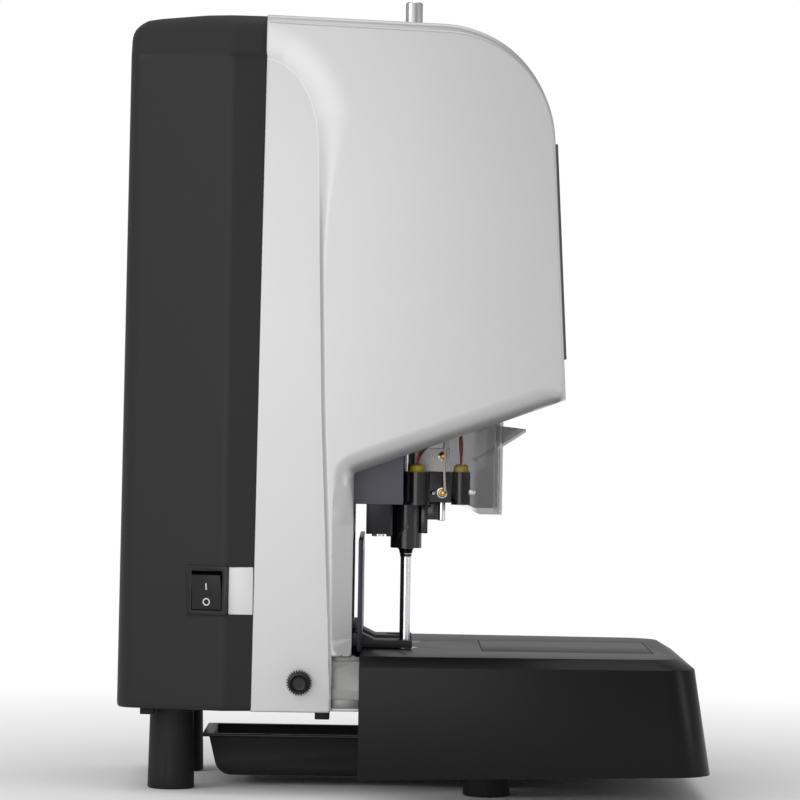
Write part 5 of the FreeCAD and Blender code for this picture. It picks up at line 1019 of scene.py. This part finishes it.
def switch_marks():
    """The I and O on the rocker, printed on its dished face. They turn with it."""
    lean = Matrix.Rotation(math.radians(-7), 4, "Y")
    place = (Matrix.Translation(SWITCH_SEAT) @ Matrix.Rotation(math.radians(SWITCH_TURN), 4, "Z")
             @ Matrix.Translation((5.0, 0, 0)) @ lean)

    def dish(z):
        return -8.2 + 1.4 * (1 - abs(z) / 11.2) - 0.06

    bar = [(dish(z), y, z) for z in (1.4, 5.8) for y in (-0.45, 0.45)]
    deep = [(x + 0.3, y, z) for x, y, z in bar]
    points = [place @ Vector(p) for p in bar + deep]
    sides = ((0, 1, 3, 2), (4, 6, 7, 5), (0, 2, 6, 4), (1, 5, 7, 3), (0, 4, 5, 1), (2, 3, 7, 6))
    piece("mark_on", points, sides, "white_print", "rocker_body", slot="switch_plastic")
    turns = [2 * math.pi * n / 40 for n in range(40)]
    rings = [[(radius * math.cos(turn), -6.3 + radius * math.sin(turn)) for turn in turns]
             for radius in (1.65, 2.45)]
    flat = [(dish(z), y, z) for ring in rings for y, z in ring]
    flat += [(x + 0.3, y, z) for x, y, z in flat]
    faces = []
    for n in range(40):
        ahead = (n + 1) % 40
        faces += [(n, ahead, 40 + ahead, 40 + n), (80 + n, 120 + n, 120 + ahead, 80 + ahead),
                  (n, 80 + n, 80 + ahead, ahead), (40 + n, 40 + ahead, 120 + ahead, 120 + n)]
    piece("mark_off", [place @ Vector(p) for p in flat], faces, "white_print", "rocker_body",
          slot="switch_plastic")


switch_marks()


# Floor, backdrop and light

LAMPS = (  # name, place in metres, side of the square in metres, watts
    ("rear_softbox", (-1.3, 2.0, 1.5), 1.4, 18), ("top_softbox", (-0.1, 0.0, 2.3), 1.8, 13),
    ("front_softbox", (-0.9, -2.3, 0.5), 0.7, 5), ("side_softbox", (-1.5, 0.4, 0.42), 0.9, 5.5),
)
FADE_FROM, FADE_TO = 0.28, 0.85  # metres from the middle, over which the floor turns plain white


def studio():
    """A white floor that shows shadows near the machine, a white world and four softboxes."""
    scene = bpy.context.scene
    scene.view_settings.view_transform = "Standard"
    floor_mesh = bpy.data.meshes.new("floor")
    floor_mesh.from_pydata([(-14, -14, 0), (14, -14, 0), (14, 14, 0), (-14, 14, 0)], [], [(0, 1, 2, 3)])
    floor = linked("floor", floor_mesh)
    floor.location.z = -0.0004
    material = bpy.data.materials.new("white_floor")
    tree = cleared(material)
    place = add(tree, "ShaderNodeTexCoord").outputs["Object"]
    away = add(tree, "ShaderNodeVectorMath", {0: place}, operation="LENGTH")
    fade = add(tree, "ShaderNodeMapRange", {"Value": away.outputs["Value"], "From Min": FADE_FROM,
                                            "From Max": FADE_TO})
    matt = add(tree, "ShaderNodeBsdfDiffuse", {"Color": (0.92, 0.92, 0.92, 1)})
    rays = add(tree, "ShaderNodeLightPath")
    seen = add(tree, "ShaderNodeMath", {0: rays.outputs["Is Camera Ray"], 1: rays.outputs["Is Glossy Ray"]},
               operation="MAXIMUM")
    seen = add(tree, "ShaderNodeMath", {0: seen.outputs[0], 1: rays.outputs["Is Transmission Ray"]},
               operation="MAXIMUM")
    lift = add(tree, "ShaderNodeMath", {0: seen.outputs[0], 1: fade.outputs[0]}, operation="MULTIPLY")
    glow = add(tree, "ShaderNodeEmission", {"Color": (1, 1, 1, 1), "Strength": 1.0})
    both = add(tree, "ShaderNodeMixShader", {0: lift.outputs[0], 1: matt.outputs[0], 2: glow.outputs[0]})
    add(tree, "ShaderNodeOutputMaterial", {"Surface": both.outputs[0]})
    floor_mesh.materials.append(material)
    world = bpy.data.worlds.new("studio")
    scene.world = world
    tree = cleared(world)
    rays = add(tree, "ShaderNodeLightPath")
    seen = add(tree, "ShaderNodeMath", {0: rays.outputs["Is Camera Ray"],
                                        1: rays.outputs["Is Transmission Ray"]}, operation="MAXIMUM")
    soft = add(tree, "ShaderNodeBackground", {"Color": (1, 1, 1, 1), "Strength": 0.47})
    white = add(tree, "ShaderNodeBackground", {"Color": (1, 1, 1, 1), "Strength": 1.0})
    both = add(tree, "ShaderNodeMixShader", {0: seen.outputs[0], 1: soft.outputs[0], 2: white.outputs[0]})
    add(tree, "ShaderNodeOutputWorld", {"Surface": both.outputs[0]})
    for name, spot, size, watts in LAMPS:
        lamp = bpy.data.lights.new(name, "AREA")
        lamp.size = size
        lamp.energy = watts
        holder = linked(name, lamp)
        holder.location = spot
        holder.rotation_euler = (Vector((0, 0, 0.25)) - Vector(spot)).to_track_quat("-Z", "Y").to_euler()


studio()
